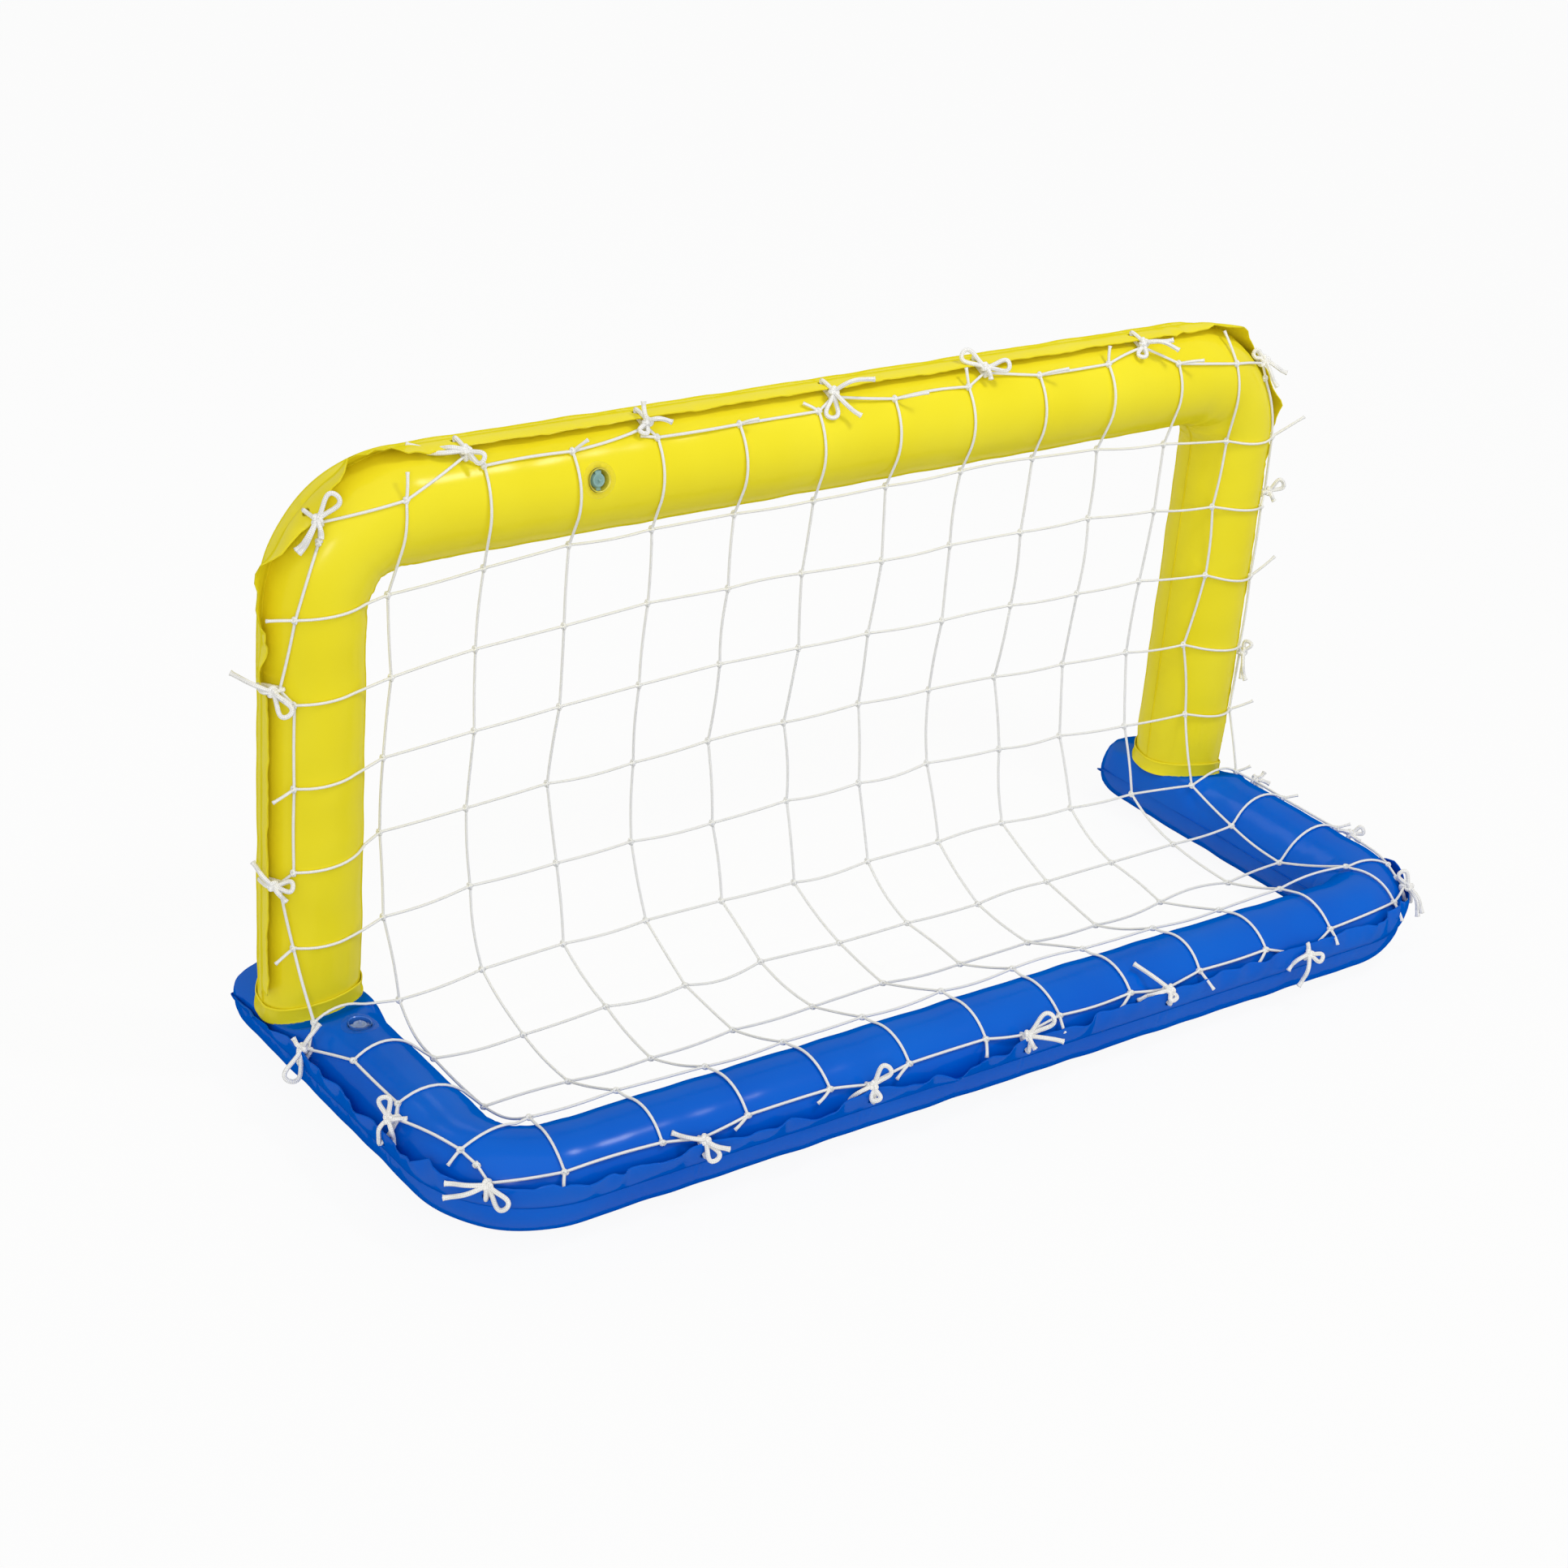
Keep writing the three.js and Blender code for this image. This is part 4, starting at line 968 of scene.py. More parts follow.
@dataclass
class FilmChamber:
    """One inflated tube: two sheets of film welded along a punched outer flap and a narrow inner lip."""

    path: TubePath
    names: dict[SheetSide, str]
    finish: Finish
    ties: list[float]
    valve: tuple[float, float] = (0.0, 0.0)  # distance along the axis and angle round the tube
    flap_width: float = 0.03
    lip_width: float = 0.0013
    film: float = 0.0004
    offset: float = 0.00055
    hole_radius: float = 0.0044
    hole_depth: float = 0.0156
    valve_hole: float = 0.0127
    station: float = 0.005  # distance between the mesh's plain rows
    hole_rows: tuple = (0.0085, 0.0013)  # half the run of finer rows at a hole, and their distance
    valve_rows: tuple = (0.018, 0.003)
    tube_rows: int = 44
    ruffle: float = 0.0005
    corner_ruffles: tuple = (0.0028, 0.002)  # the broad and the narrow waves of the flap at a corner
    curl: float = 0.26  # how much further the flap's edge leans than its root, in radians
    crease: float = 0.0024  # depth of the pinch on the inner side of a corner
    point: float = 0.009  # how far the flap's cut corners stick out past its width
    trims: tuple = (0.004, 0.004)  # cut off the right and the left corner of the flap
    seed: int = 1

    def flap_at(self, place: Places) -> np.ndarray:
        """Width of the flap. It is cut straight across each corner, which leaves two points there."""
        seam = self.path.corner_radius + place.radius
        angle = place.turn * math.pi / 2
        full = seam + self.flap_width
        trim = np.where(place.centre[..., 0] > 0, self.trims[0], self.trims[1])
        cut = (full - trim) / np.cos(angle - math.pi / 4)
        straight = full / np.maximum(np.cos(angle), np.sin(angle))
        wide = np.minimum(np.minimum(cut, straight) - seam, self.flap_width + self.point)
        return np.where((place.turn > 0) & (place.turn < 1), wide, self.flap_width)

    def lift_at(self, along: np.ndarray) -> np.ndarray:
        """How strongly a tie holds the flap up, from 0 to 1."""
        held = np.zeros(np.shape(along))
        for tie in self.ties:
            held = np.maximum(held, bell(along - tie, 0.03))
        return held

    def corner_at(self, along: np.ndarray) -> np.ndarray:
        """Nearness of a corner, from 0 to 1."""
        wide = 0.62 * self.path.arc
        return np.maximum(bell(along - self.path.middle[0], wide), bell(along - self.path.middle[1], wide))

    def angle_at(self, along: np.ndarray) -> np.ndarray:
        """Lean of the flap towards the net's side, in radians. Each chamber has its own."""
        raise NotImplementedError

    def section(self, along: np.ndarray) -> Section:
        """Reads the section at places along the axis."""
        place = self.path.at(along)
        return Section(
            place.radius,
            place.radius,
            place.centre,
            place.out,
            -place.out,
            self.flap_at(place),
            np.full(np.shape(along), self.lip_width),
            self.angle_at(along),
        )

    def settle(self, points: np.ndarray) -> np.ndarray:
        """Fits the film to what it rests on. Each chamber has its own."""
        raise NotImplementedError

    def swell(self, along: np.ndarray, turn: np.ndarray, side: SheetSide, radius: np.ndarray) -> np.ndarray:
        """Height of the film's folds and swells over the plain tube.

        Args:
            along: distances along the axis.
            turn: angle round the half tube, from 0 at the flap to pi at the lip.
            side: which sheet.
            radius: the tube's radius.

        Returns:
            Heights in metres.
        """
        seed = self.seed + (0 if side is SheetSide.NET else 50)
        outer = radius * turn
        inner = radius * (math.pi - turn)
        corner = self.corner_at(along)
        slow = 0.0005 * Wobble(0.13, seed)(along, turn / 9)
        pucker = 0.00035 + 0.0009 * corner
        at_flap = pucker * bell(outer, 0.016) * Wobble(0.021, seed + 1)(along, turn / 14)
        at_lip = (0.0002 + 0.0006 * corner) * bell(inner, 0.02) * Wobble(0.017, seed + 2)(along)
        folds = 0.0008 * corner * bell(inner, 0.045) * Wobble(0.03, seed + 3)(along, turn / 20)
        for middle in self.path.middle:
            pinch = bell(along - middle, 0.011) - 0.4 * bell(np.abs(along - middle) - 0.03, 0.014)
            folds = folds - self.crease * pinch * bell(inner, 0.05)
        tugs = 0.0005 * self.lift_at(along) * bell(outer, 0.012) * Wobble(0.014, seed + 4)(along)
        fade = 1 - np.exp(-((np.minimum(outer, inner) / 0.003) ** 2))
        return (slow + at_flap + at_lip + folds + tugs) * fade

    def surface(self, along: np.ndarray, across: np.ndarray, side: SheetSide) -> np.ndarray:
        """Points on one sheet.

        Args:
            along: distances along the axis.
            across: -1 to 0 over the flap from its edge, 0 to 1 over the half tube, 1 to 2 over the lip.
            side: which sheet.

        Returns:
            One row for each pair.
        """
        sign = side.value
        cut = self.section(along)
        out = self.path.at(along).out
        lean = np.array(self.path.lean)
        steep = np.minimum(cut.angle, math.radians(60))
        share = np.clip(-across, 0.0, 1.0)
        corner = self.corner_at(along)
        broad, narrow = self.corner_ruffles
        ruffle = (self.ruffle + broad * corner) * Wobble(0.036, self.seed + 7)(along) * share**1.5
        ruffle = ruffle + narrow * corner * Wobble(0.021, self.seed + 8)(along) * share**2.2
        ruffle = ruffle * (1 - 0.8 * self.lift_at(along)) * np.clip(cut.flap / self.flap_width, 0, 1)
        bend = cut.angle + self.curl * (share - 0.5) * np.clip(cut.angle, 0, 1)
        room = self.offset * sign + ruffle - 0.001 * np.clip(share / 0.08, 0, 1) * np.sin(cut.angle)
        flat = cut.half_width + cut.flap * share * np.cos(bend) - np.sin(bend) * room
        high = cut.flap * share * np.sin(bend) + np.cos(bend) * room
        root = cut.half_width[..., None] * (out - cut.flap_way)
        flap = cut.centre + root + flat[..., None] * cut.flap_way + high[..., None] * lean
        turn = np.clip(across, 0.0, 1.0) * math.pi
        rise = self.swell(along, turn, side, np.maximum(cut.half_height, 0.004))
        rise = rise * np.clip(cut.half_height / 0.03, 0, 1)
        closing = self.offset / np.cos(steep) * bell(turn, 0.06) + self.offset * bell(math.pi - turn, 0.06)
        wide = (cut.half_width + rise) * np.cos(turn)
        tall = sign * ((cut.half_height + rise) * np.sin(turn) + closing)
        tube = cut.centre + wide[..., None] * out + tall[..., None] * lean
        beyond = np.clip(across - 1, 0.0, 1.0) * cut.lip
        weld = cut.centre - cut.half_width[..., None] * out + (sign * self.offset) * lean
        lip = weld + beyond[..., None] * cut.lip_way
        points = np.where((across < 0)[..., None], flap, np.where((across > 1)[..., None], lip, tube))
        return self.settle(points)

    def stretch_at(self, along: float) -> float:
        """How much longer the flap's hole line is than the axis beside it."""
        place = self.path.at(np.array([along]))
        if not 0 < place.turn[0] < 1:
            return 1.0
        reach = place.radius[0] + self.hole_depth * math.cos(self.angle_at(np.array([along]))[0])
        return 1 + reach / self.path.corner_radius

    def stations(self) -> np.ndarray:
        """Distances along the axis of the mesh's rows, finer where a hole is punched."""
        marks = self.ends()
        windows = [(self.valve[0], *self.valve_rows)]
        for tie in self.ties:
            windows.insert(-1, (tie, *(size / self.stretch_at(tie) for size in self.hole_rows)))
        for middle, half, step in windows:
            marks = marks[np.abs(marks - middle) > half + 0.3 * step]
            marks = np.concatenate([marks, np.arange(-half, half + step / 2, step) + middle])
        return np.unique(np.round(marks, 7))

    def ends(self) -> np.ndarray:
        """The plain rows from one end of the chamber to the other."""
        return np.arange(0.0, self.path.total + self.station / 2, self.station)

    def rows(self) -> np.ndarray:
        """Places of the mesh's rows across a sheet. The flap's are in mm from the seam, of 30."""
        near = [0, 0.8, 2.4, 4.2, 7, 9.4, 11, 12.3, 13.8, 15.6, 17.4, 18.9, 20.2, 22, 24, 26.5, 28.6, 30]
        flap = -np.array(near[::-1]) / 30
        tube = np.linspace(0, 1, self.tube_rows + 1)[1:]
        lip = 1 + np.array([0.4, 1.0])
        return np.concatenate([flap, tube, lip])

    def holes(self, side: SheetSide) -> list[Hole]:
        """The punched holes of a sheet, and the valve's in the net's sheet."""
        found = []
        for tie in self.ties:
            flap = float(self.flap_at(self.path.at(np.array([tie])))[0])
            found.append(Hole(tie, -self.hole_depth / flap, self.stretch_at(tie), flap, self.hole_radius))
        if side is SheetSide.NET:
            where, degrees = self.valve
            half_round = float(self.path.at(np.array([where])).radius[0]) * math.pi
            found.append(Hole(where, degrees / 180, 1.0, half_round, self.valve_hole))
        return found

    def grid(self, side: SheetSide) -> tuple[np.ndarray, np.ndarray, np.ndarray]:
        """Lays out a sheet's mesh and cuts its holes.

        Args:
            side: which sheet.

        Returns:
            Each vertex's place along and across the sheet, and each face's vertex numbers.
        """
        along, across = np.meshgrid(self.stations(), self.rows(), indexing="ij")
        numbers = np.arange(along.size).reshape(along.shape)
        corners = [numbers[:-1, :-1], numbers[1:, :-1], numbers[1:, 1:], numbers[:-1, 1:]]
        quads = np.stack(corners, axis=-1).reshape(-1, 4)
        along, across = along.ravel(), across.ravel()
        middles = along[quads].mean(axis=1), across[quads].mean(axis=1)
        kept = np.ones(len(quads), dtype=bool)
        for hole in self.holes(side):
            gap = np.hypot(*hole.gap(*middles))
            inside = gap < hole.radius
            rim = np.intersect1d(quads[inside], quads[~inside & (gap < 3 * hole.radius)])
            dx, dy = hole.gap(along[rim], across[rim])
            pull = hole.radius / np.maximum(np.hypot(dx, dy), 1e-9)
            along[rim] = hole.along + dx * pull / hole.per_along
            across[rim] = hole.across + dy * pull / hole.per_across
            kept &= ~inside
        return along, across, quads[kept]

    def build_sheet(self, side: SheetSide) -> Any:
        """Builds and dresses one sheet.

        Args:
            side: which sheet.

        Returns:
            The sheet's object.
        """
        along, across, quads = self.grid(side)
        points = self.surface(along, across, side)
        if side is SheetSide.AWAY:
            quads = quads[:, ::-1]
        tube = np.clip(across, 0, 1) * math.pi * self.path.leg_radius + np.clip(across - 1, 0, 1) * 0.003
        girth = np.where(across < 0, across * self.flap_width, tube)
        uv = np.stack([along, girth], axis=-1)
        crease = np.where(np.isclose(across, 0.0), 1, np.where(np.isclose(across, 1.0), 2, 0))
        used, new = np.unique(quads, return_inverse=True)
        faces = new.reshape(quads.shape).tolist()
        piece = add_mesh(self.names[side], points[used], faces, "film", uv[used], crease[used])
        weld = np.where(across < 0, 0.8 * bell(across * self.flap_width + 0.0032, 0.002), 0.0)
        add_layer(piece, "weld", np.where(across > 1, 0.35, weld)[used])
        self.turn_outwards(piece)
        wall = piece.modifiers.new("film", "SOLIDIFY")
        wall.thickness = self.film
        wall.offset = -1
        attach(piece, "goal")
        FinishBox.dress(piece, self.finish)
        return piece

    def turn_outwards(self, piece: Any) -> None:
        """Turns a sheet's faces so that they look away from the tube's axis."""
        probe = piece.data.polygons[len(piece.data.polygons) // 2 + self.tube_rows // 3]
        middle = np.array(probe.center)
        place = self.path.at(self.path.nearest(middle[None]))
        if float(np.array(probe.normal) @ (middle - place.centre[0])) < 0:
            piece.data.flip_normals()

    def build(self) -> list[Any]:
        """Builds both sheets."""
        pieces = []
        for side in SheetSide:
            piece = self.build_sheet(side)
            node = self.names[side].replace("_film", "_sheet")
            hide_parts(node)
            pieces.append(piece)
        return pieces


@dataclass
class BaseChamber(FilmChamber):
    """The U-shaped base. Its flap waves between the ties, and its legs close to flat tips."""

    tip: float = 0.053
    tip_flap: float = 0.005
    tip_sag: float = 0.036
    dent: float = 0.0545  # radius of the post's foot
    dent_reach: float = 0.08  # how far round the foot the film still follows it
    dent_slopes: tuple = (0.45, -0.2)  # how the film rises away from the foot, behind it and ahead of it
    dent_blend: float = 0.004
    floor_gap: float = 0.0003

    def angle_at(self, along: np.ndarray) -> np.ndarray:
        """Lean of the flap: up where a tie holds it, drooping between."""
        held = self.lift_at(along)
        corner = self.corner_at(along)
        leg, arc, total = self.path.straight, self.path.arc, self.path.total
        stops = (leg, leg + 0.35 * arc, leg + 0.6 * arc, leg + arc, leg + arc + 0.35, leg + arc + 0.62)
        stops = (*stops, total - leg - arc, total - leg)
        angle = between(along, stops, (104, 84, 76, 79, 72, 44, 60, 63))
        free = (1 - held) * np.clip((along - leg) / (0.5 * arc), 0.0, 1.0)
        angle = angle + (np.maximum(angle, 67) - angle) * held
        angle = angle + 8 * free * Wobble(0.09, self.seed + 5)(along)
        angle = angle + 9 * corner * free * Wobble(0.04, self.seed + 6)(along)
        close = np.cos(self.closing(along)) ** 0.5
        return np.radians(angle) * close

    def closing(self, along: np.ndarray) -> np.ndarray:
        """Angle of the quarter ellipse along which a leg's tip closes."""
        beyond = np.maximum(-self.path.short(along), 0.0)
        return np.clip(beyond / self.tip, 0.0, 1.0) * math.pi / 2

    def section(self, along: np.ndarray) -> Section:
        """The section, closing to the seam at a leg's tip, where the flap runs on to the front."""
        inner = np.clip(along, 0.0, self.path.total)
        cut = super().section(inner)
        place = self.path.at(inner)
        close = self.closing(along)
        forward = -np.array(self.path.climb)
        narrow = np.maximum(np.cos(close), 0.0)
        half_width = place.radius * narrow**0.75
        slope = 0.75 * place.radius * np.maximum(narrow, 0.02) ** -0.25 * np.sin(close)
        side_way = unit(self.tip * narrow[..., None] * place.out + slope[..., None] * forward)
        lip_way = unit(-self.tip * narrow[..., None] * place.out + slope[..., None] * forward)
        centre = cut.centre + (self.tip * np.sin(close))[..., None] * forward
        centre = centre - (self.tip_sag * (1 - np.cos(close)))[..., None] * UP
        share = ease((0.03 - self.path.short(along)) / 0.05)
        return Section(
            half_width,
            place.radius * narrow,
            centre,
            side_way,
            lip_way,
            cut.flap + (self.tip_flap - cut.flap) * share,
            cut.lip + (self.tip_flap - cut.lip) * share,
            self.angle_at(along),
        )

    def swell(self, along: np.ndarray, turn: np.ndarray, side: SheetSide, radius: np.ndarray) -> np.ndarray:
        """Swells, with folds that run out from the leg's tip and from under the post's foot."""
        height = super().swell(along, turn, side, radius)
        short = self.path.short(along)
        if side is SheetSide.NET:
            height = height + self.path.leg_radius * (squareness(turn, foot_at(short)) - 1)
            behind = short - LAYOUT.leg_start
            foot = bell(behind - 0.062, 0.022) + bell(behind + 0.066, 0.02)
            rays = 0.0006 * foot * Wobble(0.075, self.seed + 10)(turn * radius * 3 + 0.3)
            height = height + rays * np.sin(turn)
        fan = 0.0011 * ease((0.02 - short) / 0.05) * Wobble(0.09, self.seed + 9)(turn * radius * 3.2 + 0.3)
        return height + fan * np.sin(turn)

    def settle(self, points: np.ndarray) -> np.ndarray:
        """Flattens the film where it lies on the floor, and dents it where a post stands on it."""
        settled = points.copy()
        inward = self.path.half_span - np.abs(points[..., 0])
        behind = POST_Y - points[..., 1]
        away = np.maximum(np.hypot(inward, behind) - self.dent, 0.0)
        slope = np.where(behind > 0, *self.dent_slopes)
        room = rim_height(inward, 0.0002) + slope * away - points[..., 2]
        room = np.where((points[..., 2] > LAYOUT.axis_height) & (away < self.dent_reach), room, 1.0)
        share = np.clip(0.5 + 0.5 * room / self.dent_blend, 0.0, 1.0)
        settled[..., 2] += room * (1 - share) - self.dent_blend * share * (1 - share)
        settled[..., 2] = np.maximum(settled[..., 2], self.floor_gap)
        return settled

    def ends(self) -> np.ndarray:
        """Rows with the tips' own, closer towards the point."""
        tip = self.tip * np.linspace(0, 1, 22)[1:]
        inner = super().ends()
        return np.concatenate([-tip[::-1], inner, [self.path.total], self.path.total + tip])


@dataclass
class ArchChamber(FilmChamber):
    """The arch. Its flap lies back along the bar, and its posts stand in saddles on the legs."""

    trims: tuple = (0.007, -0.003)
    foot: float = 0.0202  # how far the post's film runs on below its flap
    turns: tuple = (0, 0.1, 0.23, 0.36, 0.5, 0.64, 0.77, 0.9, 1)  # shares of a corner
    foot_top: float = 0.132  # height up to which the rows follow the saddle
    stub: float = 0.0006  # what is left of the flap and the lip under the collar

    def angle_at(self, along: np.ndarray) -> np.ndarray:
        """Lean of the flap: steep and even along the bar, changing along the posts."""
        turn = self.path.at(along).turn
        right = between(turn, self.turns, (97, 93, 84, 82, 80, 70, 60, 74, 80))
        left = between(turn, self.turns, (56, 46, 42, 64, 84, 62, 44, 58, 79))
        below = along - (self.path.total - self.path.straight)
        down = (0, 0.022, 0.05, 0.075, 0.11, 0.42, 0.5)
        post = between(below, down, (56, 66, 54, 67, 68, 68, 72))
        left = np.where(below > 0, post, left)
        angle = np.where(along < self.path.total / 2, right, left)
        angle = angle + 1.5 * Wobble(0.15, self.seed + 5)(along)
        corner = self.corner_at(along) * (1 - self.lift_at(along))
        return np.radians(angle + 5 * corner * Wobble(0.06, self.seed + 11)(along))

    def section(self, along: np.ndarray) -> Section:
        """The section, with the flap tapering out above the foot collar."""
        cut = super().section(along)
        short = self.path.short(along)
        taper = ease((short - 0.012) / 0.012)
        pinch = 1 - 0.02 * bell(short + 0.02, 0.05)
        return replace(
            cut,
            half_width=cut.half_width * pinch,
            half_height=cut.half_height * pinch,
            flap=self.stub + (cut.flap - self.stub) * taper,
            lip=self.stub + (cut.lip - self.stub) * taper,
        )

    def swell(self, along: np.ndarray, turn: np.ndarray, side: SheetSide, radius: np.ndarray) -> np.ndarray:
        """Swells, with soft upright creases just above the foot."""
        height = super().swell(along, turn, side, radius)
        short = self.path.short(along)
        foot = bell(short - 0.05, 0.035)
        creases = 0.0005 * foot * Wobble(0.05, self.seed + 9)(turn * radius * 2 + 0.1)
        return height + creases * np.sin(turn)

    def settle(self, points: np.ndarray) -> np.ndarray:
        """Moves the foot's rows so that its lowest edge follows the leg below it."""
        settled = points.copy()
        saddle = rim_height(self.path.half_span - np.abs(points[..., 0]), 0.0003)
        bottom, top = self.path.start[1] - self.foot, self.foot_top
        share = np.clip((points[..., 2] - bottom) / (top - bottom), 0.0, 1.0)
        settled[..., 2] = np.where(points[..., 2] < top, saddle + (top - saddle) * share, points[..., 2])
        return settled

    def ends(self) -> np.ndarray:
        """Rows with the feet's own."""
        foot = self.foot * np.linspace(0, 1, 6)[1:]
        return np.concatenate([-foot[::-1], super().ends(), [self.path.total], self.path.total + foot])


@dataclass
class FootCollar:
    """The welded band round a post's foot, flared where it turns out onto the leg."""

    name: str
    sign: int
    inner: float = 0.0538
    steps: int = 120
    profile: tuple = (  # mm above the rim and outwards, from the inside of the rim over the outside
        (-1.0, 0.0), (-1.6, 1.2), (-1.2, 1.8), (-0.4, 1.7), (0.8, 1.1), (2.4, 0.6), (6.0, 0.3),
        (12.0, 0.3), (13.6, 0.7), (14.4, 0.7), (15.2, 0.3), (15.8, 0.1), (15.5, -0.6),
    )

    def build(self) -> Any:
        """Builds and dresses the collar."""
        shape = np.array(self.profile) * MM
        angles = np.linspace(0, 2 * math.pi, self.steps, endpoint=False)
        wave = 0.0004 * Wobble(0.06, 31 + self.sign)(angles * self.inner)
        radius = self.inner + shape[None, :, 1] + wave[:, None]
        x = radius * np.cos(angles)[:, None]
        y = radius * np.sin(angles)[:, None]
        z = rim_height(-self.sign * x, 0.001) + shape[None, :, 0]
        points = np.stack([x + self.sign * LAYOUT.half_span, y + POST_Y, z], axis=-1).reshape(-1, 3)
        run = np.cumsum(np.r_[0, np.hypot(*np.diff(shape, axis=0).T)])
        uv = np.stack(np.broadcast_arrays((angles * self.inner)[:, None], run[None, :]), axis=-1)
        faces = ring_faces(self.steps, len(shape))
        piece = add_mesh(self.name, points, faces, "film", uv.reshape(-1, 2))
        weld = np.zeros(len(shape))
        weld[[8, 9]] = 0.35
        add_layer(piece, "weld", np.tile(weld, self.steps))
        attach(piece, "goal")
        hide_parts(self.name.replace("_band", "_collar"))
        FinishBox.dress(piece, Finish.YELLOW)
        return piece


# Valves

# The corners of a block's faces, with its corners numbered by x, then y, then z.
BLOCK_FACES = ((0, 1, 3, 2), (4, 6, 7, 5), (0, 4, 5, 1), (2, 3, 7, 6), (0, 2, 6, 4), (1, 5, 7, 3))


@dataclass
class InflationValve:
    """A push-in valve: a welded body, a stem that slides, a plug on it and a check disc below."""

    prefix: str
    path: TubePath
    along: float
    degrees: float
    steps: int = 48
    wall_reach: float = 0.0126  # radius inside which the body's wall stands behind its face

    def seat(self) -> tuple[np.ndarray, np.ndarray, float]:
        """The place on the film, its axes as rows (along, round, outwards) and the tube's radius."""
        place = self.path.at(np.array([self.along]))
        angle = math.radians(self.degrees)
        lean = np.array(self.path.lean)
        outward = math.cos(angle) * place.out[0] + math.sin(angle) * lean
        along = np.cross(place.out[0], lean)
        axes = np.stack([along, np.cross(outward, along), outward])
        radius = float(place.radius[0])
        return place.centre[0] + radius * outward, axes, radius

    def lathe(self, part: str, profile: list[tuple], body: str, follow: float = 1e9) -> Any:
        """Turns a profile round the valve's axis.

        Args:
            part: the CAD node's name without the valve's prefix.
            profile: pairs of radius and height in mm; the last joins the first.
            body: the CAD body that it rides on.
            follow: radius in mm beyond which the piece bends down with the tube.

        Returns:
            The new object.
        """
        origin, axes, tube = self.seat()
        shape = np.array(profile) * MM
        angles = np.linspace(0, 2 * math.pi, self.steps, endpoint=False)
        x = shape[None, :, 0] * np.cos(angles)[:, None]
        y = shape[None, :, 0] * np.sin(angles)[:, None]
        drop = np.sqrt(np.maximum(tube**2 - y**2, 1e-9)) - tube
        share = ease((shape[:, 0] - follow * MM) / 0.0015 + 0.5)
        near = (shape[:, 1] > -0.001).astype(float)
        z = shape[None, :, 1] + drop * (share * near)[None, :]
        local = np.stack([x, y, z], axis=-1).reshape(-1, 3)
        points = origin + local @ axes
        name = f"{self.prefix}_valve_{part}_moulding"
        piece = add_mesh(name, points, ring_faces(self.steps, len(shape)), "moulding", local[:, :2])
        if part == "body":
            inside = ease((self.wall_reach - shape[:, 0]) / 0.001)
            add_layer(piece, "thickness", np.tile(inside, self.steps))
        self.finish(piece, part, body)
        return piece

    def finish(self, piece: Any, part: str, body: str) -> None:
        """Cleans a turned piece, rounds its edges and puts it in its node's place.

        Args:
            piece: the object.
            part: the CAD node's name without the valve's prefix.
            body: the CAD body that it rides on.
        """
        weld = piece.modifiers.new("weld", "WELD")
        weld.merge_threshold = 0.00001
        round_edges = piece.modifiers.new("edges", "BEVEL")
        round_edges.width = 0.0002
        round_edges.segments = 2
        round_edges.limit_method = "ANGLE"
        round_edges.angle_limit = math.radians(35)
        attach(piece, body)
        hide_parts(f"{self.prefix}_valve_{part}")
        on_arch = self.prefix == "arch"
        seat = Finish.ON_YELLOW if on_arch else Finish.ON_BLUE
        inner = Finish.GLASSY_GREEN if on_arch else Finish.GLASSY_BLUE
        FinishBox.dress(piece, seat if part == "body" else inner)

    def add_blocks(self, piece: Any, blocks: list[tuple[tuple, tuple]]) -> None:
        """Adds small moulded blocks to a piece.

        Args:
            piece: the object.
            blocks: pairs of lowest and highest corner in the valve's own axes, in mm.
        """
        origin, axes, _ = self.seat()
        mesh = piece.data
        old = [tuple(v.co) for v in mesh.vertices]
        faces = [tuple(p.vertices) for p in mesh.polygons]
        for low, high in blocks:
            first = len(old)
            for corner in itertools.product(*zip(low, high)):
                old.append(tuple(origin + (np.array(corner) * MM) @ axes))
            for quad in BLOCK_FACES:
                faces.append(tuple(first + q for q in quad))
        mesh.clear_geometry()
        mesh.from_pydata(old, [], faces)
        mesh.polygons.foreach_set("use_smooth", np.ones(len(mesh.polygons), dtype=bool))
        mesh.update()

    def build(self) -> list[Any]:
        """Builds and dresses the valve's four pieces."""
        body = self.lathe(
            "body",
            [
                (19.0, 0.35), (19.0, 0.8), (18.6, 1.25), (15.2, 1.3), (14.4, 1.5), (13.8, 2.1), (13.0, 2.3),
                (12.2, 2.0), (11.6, 1.3), (11.1, 1.0), (11.0, 0.2), (11.0, -11.6), (10.6, -12.0),
                (7.8, -12.0), (7.8, -13.2), (12.0, -13.2), (12.2, -12.9), (12.2, 0.0), (12.9, 0.35),
            ],
            "goal",
            11.8,
        )
        stem = self.lathe(
            "stem",
            [
                (4.6, -24.9), (9.2, -24.9), (9.4, -24.6), (9.4, -23.7), (9.2, -23.5), (7.4, -23.5),
                (7.4, -5.2), (8.0, -4.8), (8.0, -4.0), (7.4, -3.6), (7.4, -2.4), (7.0, -2.0), (5.0, -2.0),
                (4.6, -2.3),
            ],
            f"{self.prefix}_stem",
        )
        self.add_blocks(
            stem,
            [((-2.6, 7.2, -4.9), (2.6, 10.6, -3.1)), ((-2.6, -10.6, -4.9), (2.6, -7.2, -3.1))],
        )
        plug = self.lathe(
            "plug",
            [
                (0.0, -10.6), (3.6, -10.6), (4.2, -9.9), (4.2, -1.7), (6.6, -1.7), (6.9, -1.4), (6.9, -0.7),
                (6.5, -0.3), (5.6, -0.1), (4.8, -0.5), (3.0, -0.5), (1.6, -0.3), (1.2, 0.4), (0.9, 0.7),
                (0.0, 0.8),
            ],
            f"{self.prefix}_plug",
        )
